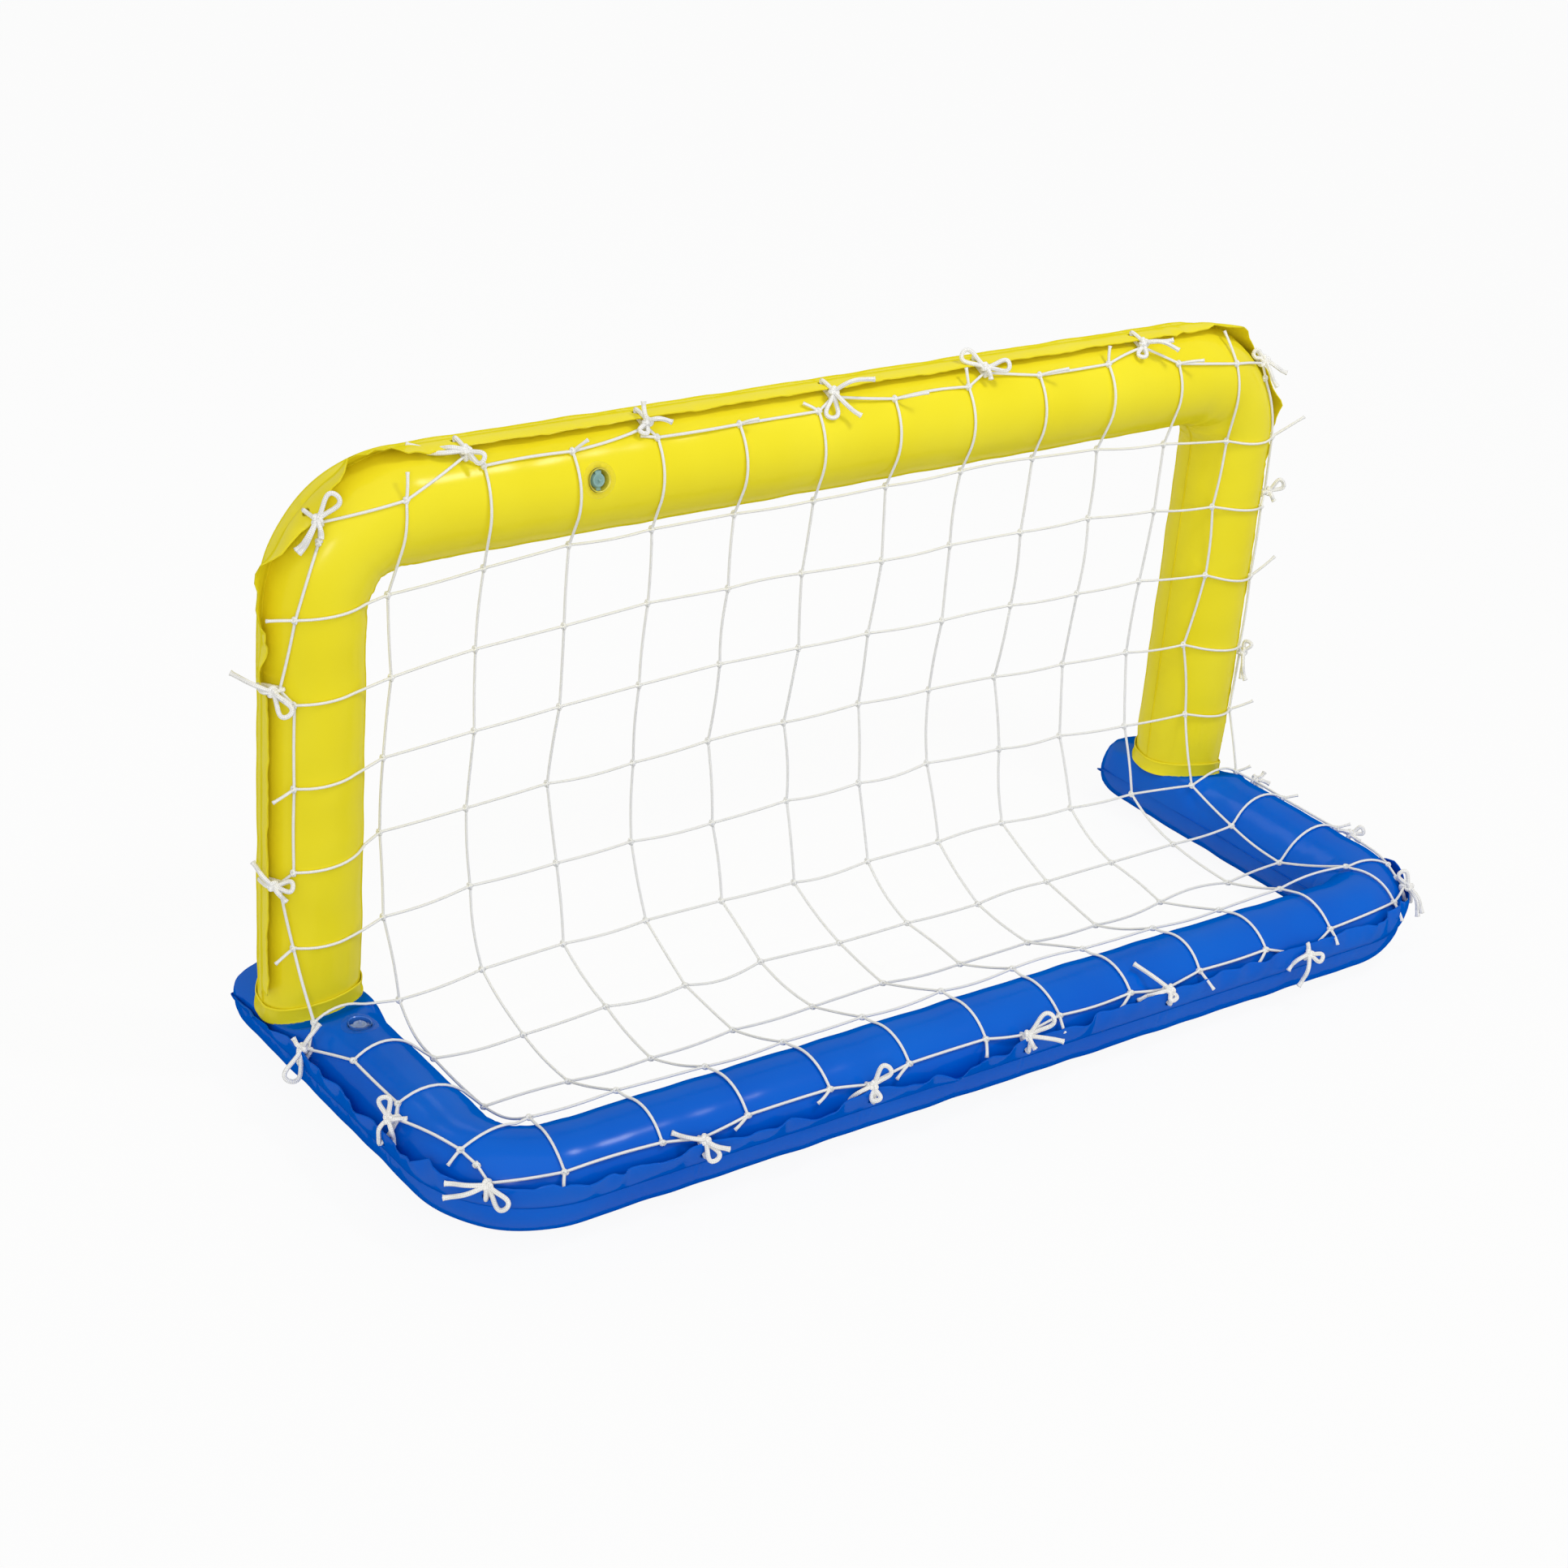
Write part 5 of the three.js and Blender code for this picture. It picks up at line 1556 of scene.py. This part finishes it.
        self.add_blocks(
            plug,
            [((-1.6, -1.0, -0.6), (1.6, 1.0, 3.0)), ((-3.4, 5.9, -1.5), (3.4, 9.6, -0.6))],
        )
        check = self.lathe(
            "check",
            [(0.0, -26.0), (6.0, -26.0), (6.2, -25.8), (6.2, -25.4), (6.0, -25.2), (0.0, -25.2)],
            f"{self.prefix}_check",
        )
        self.add_blocks(check, [((5.4, -1.6, -26.0), (7.8, 1.6, -25.2))])
        return [body, stem, plug, check]


# Net

# The cut tail of each edge knot, by column or row: its angle in the picture and its length in mm.
TOP_TAILS = {
    1: (80, 26), 3: (35, 19), 4: (175, 18), 5: (20, 20), 6: (150, 18), 7: (8, 36), 8: (100, 20),
    9: (15, 32), 10: (95, 19), 11: (10, 28), 12: (110, 40),
}
BACK_TAILS = {
    1: (-95, 18), 3: (-130, 18), 4: (-125, 18), 5: (-140, 20), 6: (-85, 18), 7: (-82, 18), 8: (-128, 20),
    9: (-55, 24), 10: (-123, 20), 11: (-63, 18), 12: (-70, 22),
}
LEFT_TAILS = {1: (180, 27), 3: (218, 24), 5: (222, 23), 8: (-85, 13), 9: (-130, 18)}
RIGHT_TAILS = {1: (31, 44), 3: (35, 37), 5: (15, 30), 6: (15, 18), 7: (10, 18), 8: (12, 18)}


@dataclass
class GoalNet:
    """A hand-knotted net: running strands, a knot at each crossing and a cut tail at each edge knot."""

    columns: int = 14
    rows: int = 11
    pitch: float = 0.100551
    shift: float = 0.01
    edge_drop: float = 0.033
    wave: float = 0.0024
    strand: float = 0.00145
    play: float = 0.012  # how far strands hang off their line to any side, as a share of their length
    sag: tuple = (0.004, 0.02)  # how far down they hang, and how much more near the floor
    knot_ring: float = 0.0024
    knot_cord: float = 0.0015
    lift: float = 0.0021  # least height of a strand's middle above the film
    knot_lift: float = 0.0027  # height of an edge knot's middle above the film
    knot_room: float = 0.0046  # least height of any other knot's middle above the film
    corner_inset: float = 0.018
    tail_rises: tuple = (0.0055, 0.013)  # how far tails stand off the film: on the back bar, the second
    node_angles: dict = field(
        default_factory=lambda: {"bar": 44.0, "back": 37.0, "post": 46.0, "leg": 52.0, "corner": 42.0}
    )
    heights: tuple = (1.07, 0.913, 0.77, 0.62, 0.466, 0.318, 0.176, 0.112, 0.098, 0.158, 0.13)
    backs: tuple = (0.11, 0.119, 0.113, 0.105, 0.078, 0.119, 0.197, 0.419, 0.66, 0.897, 1.12)
    drops: tuple = (0.4, 1, 1, 1, 1, 0.9, 0.7, 0, 0, 0, 0)
    nudges: dict = field(default_factory=lambda: {1: (0.014, 62.0), 11: (0.0, 56.0), 12: (-0.017, 60.0)})

    def node(self, column: int, row: int) -> tuple[np.ndarray, str, float]:
        """One knot's place.

        Args:
            column: from 0 on the left.
            row: from 0 on the bar.

        Returns:
            The point, the chamber that it lies on ("arch", "base" or "") and the distance along its axis.
        """
        half = (self.columns - 1) / 2
        x = (column - half) * self.pitch + self.shift
        drop = self.edge_drop * self.drops[row] * (abs(column - half) / half) ** 3
        y = POST_Y - LAYOUT.back_reach * self.backs[row]
        z = LAYOUT.bar_height * self.heights[row] - drop
        side = column in (0, self.columns - 1)
        sign = -1 if column == 0 else 1
        edge_x = sign * LAYOUT.half_span
        last = self.rows - 1
        if row == 0 and column in self.nudges:
            move, degrees = self.nudges[column]
            return self.on_edge(ARCH, "arch", (x + move, POST_Y, LAYOUT.bar_height), degrees)
        if row == 0:
            height = LAYOUT.bar_height
            point = (edge_x, POST_Y, height - self.corner_inset) if side else (x, POST_Y, height)
            return self.on_edge(ARCH, "arch", point, self.node_angles["corner" if side else "bar"])
        if row == last:
            behind = POST_Y - LAYOUT.back_reach
            height = BASE.start[1]
            point = (edge_x, behind + self.corner_inset, height) if side else (x, behind, height)
            return self.on_edge(BASE, "base", point, self.node_angles["corner" if side else "back"])
        if side and z > LAYOUT.collar_top:
            return self.on_edge(ARCH, "arch", (edge_x, POST_Y, z), self.node_angles["post"])
        if side:
            return self.on_edge(BASE, "base", (edge_x, y, BASE.start[1]), self.node_angles["leg"])
        turns = np.array([2 * column + 3 * row, 3 * column - 2 * row, column + 5 * row])
        swayed = np.array([x, y, z]) + self.wave * np.sin(turns)
        return clear_of_tubes(swayed[None], self.knot_room)[0], "", 0.0

    def on_edge(
        self, path: TubePath, name: str, point: tuple, degrees: float
    ) -> tuple[np.ndarray, str, float]:
        """A knot that lies on a tube, beside a point of its seam."""
        along = float(path.nearest(np.array([point]))[0])
        return path.round(along, degrees, self.knot_lift), name, along

    def taut(self, start: np.ndarray, end: np.ndarray, count: int, slack: np.ndarray) -> np.ndarray:
        """Strands drawn from knot to knot, round the tubes where they meet them.

        Args:
            start: where each begins.
            end: where each ends.
            count: points in each.
            slack: how far each hangs off its straight line, as a vector.

        Returns:
            The points, by strand.
        """
        share = np.linspace(0, 1, count)[None, :, None]
        line = start[:, None] * (1 - share) + end[:, None] * share
        for _ in range(60):
            middle = (line[:, :-2] + line[:, 2:]) / 2
            line[:, 1:-1] = clear_of_tubes(middle, self.lift)
        line = line + np.sin(math.pi * share) * slack[:, None]
        line[:, 1:-1] = clear_of_tubes(line[:, 1:-1], self.lift)
        return line

    def edge_ring(self, knots: dict, grips: dict) -> list[tuple[np.ndarray, bool]]:
        """The net's edge, knot by knot and tie by tie, all the way round.

        Args:
            knots: each knot's place, chamber and distance, by column and row.
            grips: each tie's point on the edge strand with its chamber and distance.

        Returns:
            Points in order, each with whether it is a knot.
        """
        last_column, last_row = self.columns - 1, self.rows - 1
        order = [(c, 0) for c in range(self.columns)]
        order += [(last_column, r) for r in range(1, self.rows)]
        order += [(c, last_row) for c in range(last_column - 1, -1, -1)]
        order += [(0, r) for r in range(last_row - 1, 0, -1)]
        found = []
        for here, after in zip(order, order[1:] + order[:1]):
            point, chamber, along = knots[here]
            _, next_chamber, next_along = knots[after]
            found.append((point, True))
            if chamber != next_chamber:
                continue
            low, high = sorted((along, next_along))
            held = [
                (abs(where - along), grip)
                for grip, name, where in grips.values()
                if name == chamber and low < where < high
            ]
            found += [(grip, False) for _, grip in sorted(held, key=lambda pair: pair[0])]
        return found

    def build(self, grips: dict) -> Any:
        """Builds and dresses the net.

        Args:
            grips: each tie's point on the edge strand with its chamber and distance.

        Returns:
            The net's object.
        """
        rng = np.random.default_rng(7)
        knots = {(c, r): self.node(c, r) for c in range(self.columns) for r in range(self.rows)}
        bundle = CordBundle()
        lines = [[(c, r) for r in range(self.rows)] for c in range(1, self.columns - 1)]
        lines += [[(c, r) for c in range(self.columns)] for r in range(1, self.rows - 1)]
        for line in lines:
            stops = np.array([knots[key][0] for key in line])
            length = np.linalg.norm(stops[1:] - stops[:-1], axis=1)
            low = np.clip(1 - (stops[1:, 2] + stops[:-1, 2]) / LAYOUT.bar_height, 0, 1)
            slack = rng.normal(0, 1, (len(length), 3)) * (self.play * (1 + low) * length)[:, None]
            slack[:, 2] -= (self.sag[0] + self.sag[1] * low) * length
            runs = self.taut(stops[:-1], stops[1:], 15, slack)
            bundle.add(np.concatenate([*(run[:-1] for run in runs), runs[-1][-1:]]), self.strand)
        ring = self.edge_ring(knots, grips)
        stops = np.array([point for point, _ in ring])
        after = np.roll(stops, -1, axis=0)
        length = np.linalg.norm(after - stops, axis=1)
        slack = rng.normal(0, self.play, (len(length), 3)) * length[:, None]
        runs = self.taut(stops, after, 9, slack)
        bundle.add(np.concatenate([run[:-1] for run in runs]), self.strand * 1.06, closed=True)
        for column, row in knots:
            self.add_knot(bundle, knots, column, row, rng)
        self.add_tails(bundle, knots, rng)
        piece = bundle.build("knotted_net")
        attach(piece, "goal")
        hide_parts("net")
        FinishBox.dress(piece, Finish.TWINE)
        return piece

    def add_knot(self, bundle: CordBundle, knots: dict, column: int, row: int, rng: Any) -> None:
        """Adds a knot: two small turns of the twine, one drawn through the other."""
        point = knots[(column, row)][0]
        left = knots[(max(column - 1, 0), row)][0]
        right = knots[(min(column + 1, self.columns - 1), row)][0]
        above = knots[(column, max(row - 1, 0))][0]
        below = knots[(column, min(row + 1, self.rows - 1))][0]
        u = unit(right - left)
        v = below - above
        v = unit(v - u * float(v @ u))
        n = np.cross(u, v)
        turns = np.linspace(0, 2 * math.pi, 10, endpoint=False)[:, None]
        for way, other, tilt in ((u, v, 0.6), (v, u, -0.5)):
            lift = n * (tilt + rng.normal(0, 0.12))
            axis_a = unit(way + 0.25 * lift)
            axis_b = unit(n + 0.55 * other * np.sign(tilt))
            centre = point + 0.0007 * other * np.sign(tilt)
            loop = 1.25 * np.cos(turns) * axis_a + 0.8 * np.sin(turns) * axis_b
            bundle.add(centre + self.knot_ring * loop, self.knot_cord, closed=True)

    def add_tails(self, bundle: CordBundle, knots: dict, rng: Any) -> None:
        """Adds the cut tails at the edge knots, each in the direction in which it was left."""
        view = CameraAxes()
        last_column, last_row = self.columns - 1, self.rows - 1
        plan = [((c, 0), lay) for c, lay in TOP_TAILS.items()]
        plan += [((c, last_row), lay) for c, lay in BACK_TAILS.items()]
        plan += [((0, r), lay) for r, lay in LEFT_TAILS.items()]
        plan += [((last_column, r), lay) for r, lay in RIGHT_TAILS.items()]
        for key, (angle, long) in plan:
            point = knots[key][0]
            way = view.direction(angle)
            droop = rng.uniform(-0.15, 0.15)
            steps = np.linspace(0, 1, 9)[:, None]
            side = np.cross(way, view.back)
            rise = self.tail_rises[key[1] == last_row]
            path = point + long * MM * (steps * way + droop * steps**2 * side)
            path = path + rise * np.sin(math.pi * steps * 0.5) * view.back
            path[1:] = clear_of_tubes(path[1:], self.lift)
            bundle.add(path, self.strand * 1.12, flare=(0.0, 0.35))


@dataclass(frozen=True)
class CameraAxes:
    """The photograph's viewing direction."""

    azimuth: float = -37.775
    elevation: float = 25.947
    roll: float = 4.865

    @property
    def back(self) -> np.ndarray:
        """From the object to the camera."""
        a, e = math.radians(self.azimuth), math.radians(self.elevation)
        return np.array([math.sin(a) * math.cos(e), -math.cos(a) * math.cos(e), math.sin(e)])

    @property
    def right(self) -> np.ndarray:
        """To the picture's right."""
        a, r = math.radians(self.azimuth), math.radians(self.roll)
        level = np.array([math.cos(a), math.sin(a), 0.0])
        return math.cos(r) * level + math.sin(r) * np.cross(self.back, level)

    @property
    def up(self) -> np.ndarray:
        """To the picture's top."""
        return np.cross(self.back, self.right)

    def direction(self, degrees: float) -> np.ndarray:
        """A direction in the picture: 0 to the right, 90 up."""
        a = math.radians(degrees)
        return math.cos(a) * self.right + math.sin(a) * self.up


# Ties


@dataclass(frozen=True)
class TieLay:
    """How one tie was left: the bow loops and the tails, as picture angles and lengths in mm."""

    loops: tuple = ()
    tails: tuple = ()


TIE_LAYS = {
    "tie_01": TieLay(((-30, 20),), ((180, 30), (174, 58))),
    "tie_02": TieLay(((-110, 13),), ((100, 20), (-5, 25))),
    "tie_03": TieLay(((-95, 28),), ((15, 45), (-40, 38))),
    "tie_04": TieLay(((150, 30), (5, 25)), ((-70, 14),)),
    "tie_05": TieLay(((-100, 17),), ((5, 33), (-15, 40))),
    "tie_06": TieLay(((150, 16),), ((-30, 30), (-65, 35))),
    "tie_07": TieLay(((30, 20),), ((-60, 14), (200, 16))),
    "tie_08": TieLay(((60, 14),), ((-84, 35), (-94, 33))),
    "tie_09": TieLay(((-80, 16),), ((-20, 18), (40, 14))),
    "tie_10": TieLay(((20, 14),), ((170, 18), (-40, 14))),
    "tie_11": TieLay(((120, 20),), ((-66, 34), (-76, 36))),
    "tie_12": TieLay(((-20, 15),), ((-140, 30), (-110, 38))),
    "tie_13": TieLay(((-70, 12),), ((145, 48), (195, 45))),
    "tie_14": TieLay(((40, 33),), ((-10, 38), (-60, 16))),
    "tie_15": TieLay(((50, 25), (-75, 15)), ((-140, 38),)),
    "tie_16": TieLay(((-60, 22),), ((170, 34), (-20, 26))),
    "tie_17": TieLay(((-50, 28),), ((178, 40), (195, 43))),
    "tie_18": TieLay(((-110, 34),), ((55, 30), (130, 14))),
    "tie_19": TieLay(((100, 22),), ((-80, 25), (0, 18))),
    "tie_20": TieLay(((-55, 28),), ((155, 45), (-35, 22))),
    "tie_21": TieLay(((0, 20),), ((130, 32), (-50, 20))),
    "tie_22": TieLay(((50, 30),), ((232, 35), (240, 36), (-80, 18))),
}


@dataclass
class NetTie:
    """One lashing: a loop through the flap's hole and round the net's edge, a knot, its bow and tails."""

    name: str
    chamber: FilmChamber
    chamber_name: str
    along: float
    cord: float = 0.0024
    grip_angles: ClassVar[dict] = {"bar": 33.0, "post": 32.0, "leg": 40.0, "back": 29.0}
    grip_moves: ClassVar[dict] = {"tie_12": -13.0, "tie_17": -8.0, "tie_18": -12.0}
    grip_lift: float = 0.0062
    wrap: float = 0.0036  # distance from the edge strand's middle to the loop round it
    flap_gap: float = 0.0028  # distance from the flap's middle to that of the loop's cord
    knot_rise: float = 0.0052  # height of the knot's middle above the edge strand's
    knot_size: float = 0.00142
    knot_depth: float = 0.0022

    def place(self) -> Places:
        """The place on the tube's axis."""
        return self.chamber.path.at(np.array([self.along]))

    def grip_angle(self) -> float:
        """How far round the tube the tie holds the edge strand."""
        turn = float(self.place().turn[0])
        leg, bar = ("post", "bar") if self.chamber_name == "arch" else ("leg", "back")
        plain = self.grip_angles[leg] + (self.grip_angles[bar] - self.grip_angles[leg]) * turn
        return plain + self.grip_moves.get(self.name, 0.0)

    def grip(self) -> np.ndarray:
        """Where the edge strand passes through the tie."""
        return self.chamber.path.round(self.along, self.grip_angle(), self.grip_lift)

    def knot_middle(self) -> tuple[np.ndarray, np.ndarray]:
        """The knot's middle and the direction away from the tube there."""
        grip = self.grip()
        away = unit(grip - self.place().centre[0])
        edge = self.flap_points()[1]
        return grip + away * self.knot_rise + 0.25 * (edge - grip), away

    def flap_points(self) -> tuple[np.ndarray, np.ndarray, np.ndarray, np.ndarray]:
        """The hole's middle, the flap's edge, and the directions along and over the flap there."""
        one = np.array([self.along])
        depth = self.chamber.hole_depth / self.chamber.flap_at(self.place())
        both = [self.chamber.surface(one, -depth, side)[0] for side in SheetSide]
        ends = [self.chamber.surface(one, np.array([-1.0]), side)[0] for side in SheetSide]
        hole = (both[0] + both[1]) / 2
        edge = (ends[0] + ends[1]) / 2
        way = unit(edge - hole)
        over = unit(both[0] - both[1])
        return hole, edge, way, over

    def loop(self) -> np.ndarray:
        """The closed loop through the hole, over the flap's edge and round the strand."""
        hole, edge, way, over = self.flap_points()
        grip = self.grip()
        middle, away = self.knot_middle()
        gap = self.flap_gap
        under = grip - away * self.wrap
        points = np.array(
            [
                hole - over * gap * 1.25,
                hole,
                hole + over * gap * 1.25,
                (hole + over * gap * 1.2) * 0.45 + under * 0.55 + over * 0.001,
                under,
                grip + unit(grip - edge) * self.wrap,
                middle,
                edge + way * 0.0024 - over * 0.0012,
                (edge + hole) / 2 - over * gap * 1.15,
            ]
        )
        path = smooth_path(points, 0.0016, closed=True)
        return clear_of_tubes(path, self.cord + 0.0001)

    def knot(self, rng: Any) -> np.ndarray:
        """The knot: a trefoil drawn tight."""
        middle, away = self.knot_middle()
        axis = unit(away + 0.8 * CameraAxes().back)
        side = unit(np.cross(axis, UP + rng.normal(0, 0.2, 3)))
        third = np.cross(axis, side)
        t = np.linspace(0, 2 * math.pi, 42, endpoint=False)[:, None]
        x = np.sin(t) + 2 * np.sin(2 * t)
        y = np.cos(t) - 2 * np.cos(2 * t)
        z = -np.sin(3 * t)
        return middle + self.knot_size * (x * side + y * third) + self.knot_depth * z * axis

    def strand_lay(self, angle: float, length: float, is_loop: bool, rng: Any) -> np.ndarray:
        """The path of a bow loop or of a tail.

        Args:
            angle: its direction in the picture.
            length: its length in mm.
            is_loop: whether it comes back to the knot.
            rng: the tie's own random numbers.

        Returns:
            The points.
        """
        view = CameraAxes()
        middle, _ = self.knot_middle()
        way = view.direction(angle)
        side = np.cross(view.back, way)
        reach = length * MM
        front = 0.003 + 0.1 * reach
        if is_loop:
            t = np.linspace(0, 1, 15)[:, None]
            swing = 0.17 * reach + 0.0028
            path = middle + reach * np.sin(math.pi * t) ** 0.9 * way
            path = path + swing * np.sin(2 * math.pi * t) * (0.35 + 0.65 * np.sin(math.pi * t)) * side
            tilt = rng.normal(0, 0.0016) * np.sin(2 * math.pi * t)
            path = path + (front * np.sin(math.pi * t) + tilt) * view.back
        else:
            t = np.linspace(0, 1, 12)[:, None]
            sag = rng.uniform(-0.16, 0.16) * reach
            path = middle + reach * t * way + sag * np.sin(math.pi * t * 0.9) * side
            path = path + front * np.sin(math.pi * np.minimum(t * 1.3, 1)) * view.back
            path = path + rng.normal(0, 0.0012) * t * view.back
        held = clear_of_tubes(smooth_path(path, 0.0018), self.cord + 0.0004)
        held[:, 2] = np.maximum(held[:, 2], self.cord + 0.0008)
        return held

    def build(self) -> Any:
        """Builds and dresses the tie."""
        rng = np.random.default_rng(100 + int(self.name[-2:]))
        lay = TIE_LAYS[self.name]
        bundle = CordBundle(sides=10)
        bundle.add(self.loop(), self.cord * 0.95, closed=True)
        bundle.add(self.knot(rng), self.cord, closed=True)
        for angle, length in lay.loops:
            bundle.add(self.strand_lay(angle, length, True, rng), self.cord)
        for angle, length in lay.tails:
            bundle.add(self.strand_lay(angle, length, False, rng), self.cord, flare=(0.0, 0.3))
        piece = bundle.build(f"{self.name}_cord")
        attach(piece, "goal")
        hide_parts(self.name)
        FinishBox.dress(piece, Finish.CORD)
        return piece


# Studio


def put(name: str, data: Any, right: np.ndarray, back: np.ndarray, place: tuple = (0.0, 0.0, 0.0)) -> Any:
    """Puts a camera or a light in the scene.

    Args:
        name: its name.
        data: its settings.
        right: the direction to its right.
        back: the direction to its back, away from what it faces.
        place: where it is.

    Returns:
        The new object.
    """
    turned = np.stack([right, np.cross(back, right), back], axis=1)
    found = bpy.data.objects.new(name, data)
    found.matrix_world = Matrix.Translation(place) @ Matrix(turned.tolist()).to_4x4()
    bpy.context.scene.collection.objects.link(found)
    return found


@dataclass
class Studio:
    """A pale floor, soft lamps and the photograph's camera."""

    lens: float = 68.25
    sensor: float = 36.0
    position: tuple = (-1.8518, -2.2071, 1.6478)
    floor_radius: float = 30.0

    def camera(self) -> Any:
        """Adds the camera at the photograph's viewing angle."""
        axes = CameraAxes()
        data = bpy.data.cameras.new("photo_camera")
        data.lens = self.lens
        data.sensor_width = self.sensor
        data.sensor_fit = "HORIZONTAL"
        data.clip_end = 200
        camera = put("photo_camera", data, axes.right, axes.back, self.position)
        bpy.context.scene.camera = camera
        return camera

    def floor(self) -> Any:
        """Adds the floor, a wide disc."""
        steps = 64
        angles = np.linspace(0, 2 * math.pi, steps, endpoint=False)
        rim = np.stack([np.cos(angles), np.sin(angles), 0 * angles], axis=1) * self.floor_radius
        points = np.concatenate([[[0.0, 0.0, 0.0]], rim]) + np.array([0.0, 0.0, -0.0002])
        faces = [(0, 1 + i, 1 + (i + 1) % steps) for i in range(steps)]
        floor = add_mesh("studio_floor", points, faces, "floor", points[:, :2])
        floor.data.materials.append(PaintedFloor().make())
        return floor

    def lamp(self, name: str, place: tuple, target: tuple, size: tuple, power: float) -> Any:
        """Adds a soft box.

        Args:
            name: the lamp's name.
            place: where it hangs.
            target: the point that it faces.
            size: its width and height.
            power: its strength in watts.

        Returns:
            The lamp.
        """
        data = bpy.data.lights.new(name, "AREA")
        data.shape = "RECTANGLE"
        data.size, data.size_y = size
        data.energy = power
        back = unit(np.array(place) - np.array(target))
        return put(name, data, unit(np.cross(UP, back)), back, place)

    def sun(self, name: str, towards: tuple, strength: float, spread: float) -> Any:
        """Adds an even light from a wide round patch of the sky.

        Args:
            name: the light's name.
            towards: direction from the object to the light.
            strength: its strength in watts per square metre.
            spread: how wide the patch is, in degrees.

        Returns:
            The light.
        """
        data = bpy.data.lights.new(name, "SUN")
        data.energy = strength
        data.angle = math.radians(spread)
        back = unit(np.array(towards))
        return put(name, data, unit(np.cross(UP, back)), back)

    def world(self) -> Any:
        """Sets the world: pale near the horizon, dimmer overhead, white where the camera looks past all."""
        world = bpy.data.worlds.new("studio_air")
        world.use_nodes = True
        tree = world.node_tree
        tree.nodes.clear()
        where = add_node(tree, "ShaderNodeTexCoord").outputs["Generated"]
        parts = add_node(tree, "ShaderNodeSeparateXYZ", links={0: where})
        level = add_node(
            tree,
            "ShaderNodeMapRange",
            {"From Min": 0.05, "From Max": 0.8, "To Min": 0.66, "To Max": 0.4},
            {"Value": parts.outputs["Z"]},
        )
        light = add_node(
            tree, "ShaderNodeBackground", {"Color": (1, 1, 1, 1)}, {"Strength": level.outputs["Result"]}
        )
        white = add_node(tree, "ShaderNodeBackground", {"Color": (1, 1, 1, 1), "Strength": 1.0})
        mix = add_node(
            tree,
            "ShaderNodeMixShader",
            links={0: add_seen_rays(tree), 1: light.outputs["Background"], 2: white.outputs["Background"]},
        )
        add_node(tree, "ShaderNodeOutputWorld", links={"Surface": mix.outputs["Shader"]})
        bpy.context.scene.world = world
        return world

    def build(self) -> None:
        """Builds the studio."""
        self.camera()
        self.floor()
        self.world()
        self.sun("broad_light", (-0.55, -0.9, 1.0), 0.88, 80)
        self.lamp("key_box", (0.61, -0.92, 2.36), (-0.3, 0.0, 0.4), (0.34, 0.34), 13)
        self.lamp("front_box", (-2.8, -2.9, 1.75), (-0.5, 0.1, 0.5), (0.6, 0.6), 17)
        self.lamp("back_box", (-0.4, 1.6, 2.1), (0.0, 0.0, 0.3), (1.6, 0.5), 6)


def main() -> None:
    """Builds the goal and its studio, piece by piece."""
    logging.basicConfig(level=logging.INFO, format="%(message)s")
    bpy.context.scene.view_settings.view_transform = "Standard"
    Studio().build()
    LOG.info("studio")
    places = LAYOUT.tie_places()
    valve_x = -LAYOUT.arch_valve * LAYOUT.half_span
    valve_reach = LAYOUT.leg_start + LAYOUT.base_valve * LAYOUT.back_reach
    base = BaseChamber(
        BASE,
        {SheetSide.NET: "base_upper_film", SheetSide.AWAY: "base_lower_film"},
        Finish.BLUE,
        [along for _, name, along in places if name == "base"],
        (BASE.total - valve_reach, 90.0),
        seed=11,
    )
    arch = ArchChamber(
        ARCH,
        {SheetSide.NET: "arch_back_film", SheetSide.AWAY: "arch_front_film"},
        Finish.YELLOW,
        [along for _, name, along in places if name == "arch"],
        (ARCH.total / 2 - valve_x, 75.0),
        seed=23,
    )
    for chamber in (base, arch):
        for piece in chamber.build():
            LOG.info("%s: %d faces", piece.name, len(piece.data.polygons))
    for name, sign in (("left_foot_band", -1), ("right_foot_band", 1)):
        LOG.info("%s", FootCollar(name, sign).build().name)
    for prefix, chamber in (("arch", arch), ("base", base)):
        for piece in InflationValve(prefix, chamber.path, *chamber.valve).build():
            LOG.info("%s", piece.name)
    chambers = {"arch": arch, "base": base}
    ties = [NetTie(name, chambers[chamber], chamber, along) for name, chamber, along in places]
    grips = {tie.name: (tie.grip(), tie.chamber_name, tie.along) for tie in ties}
    net = GoalNet().build(grips)
    LOG.info("%s: %d faces", net.name, len(net.data.polygons))
    for tie in ties:
        LOG.info("%s", tie.build().name)


if __name__ == "__main__":
    main()
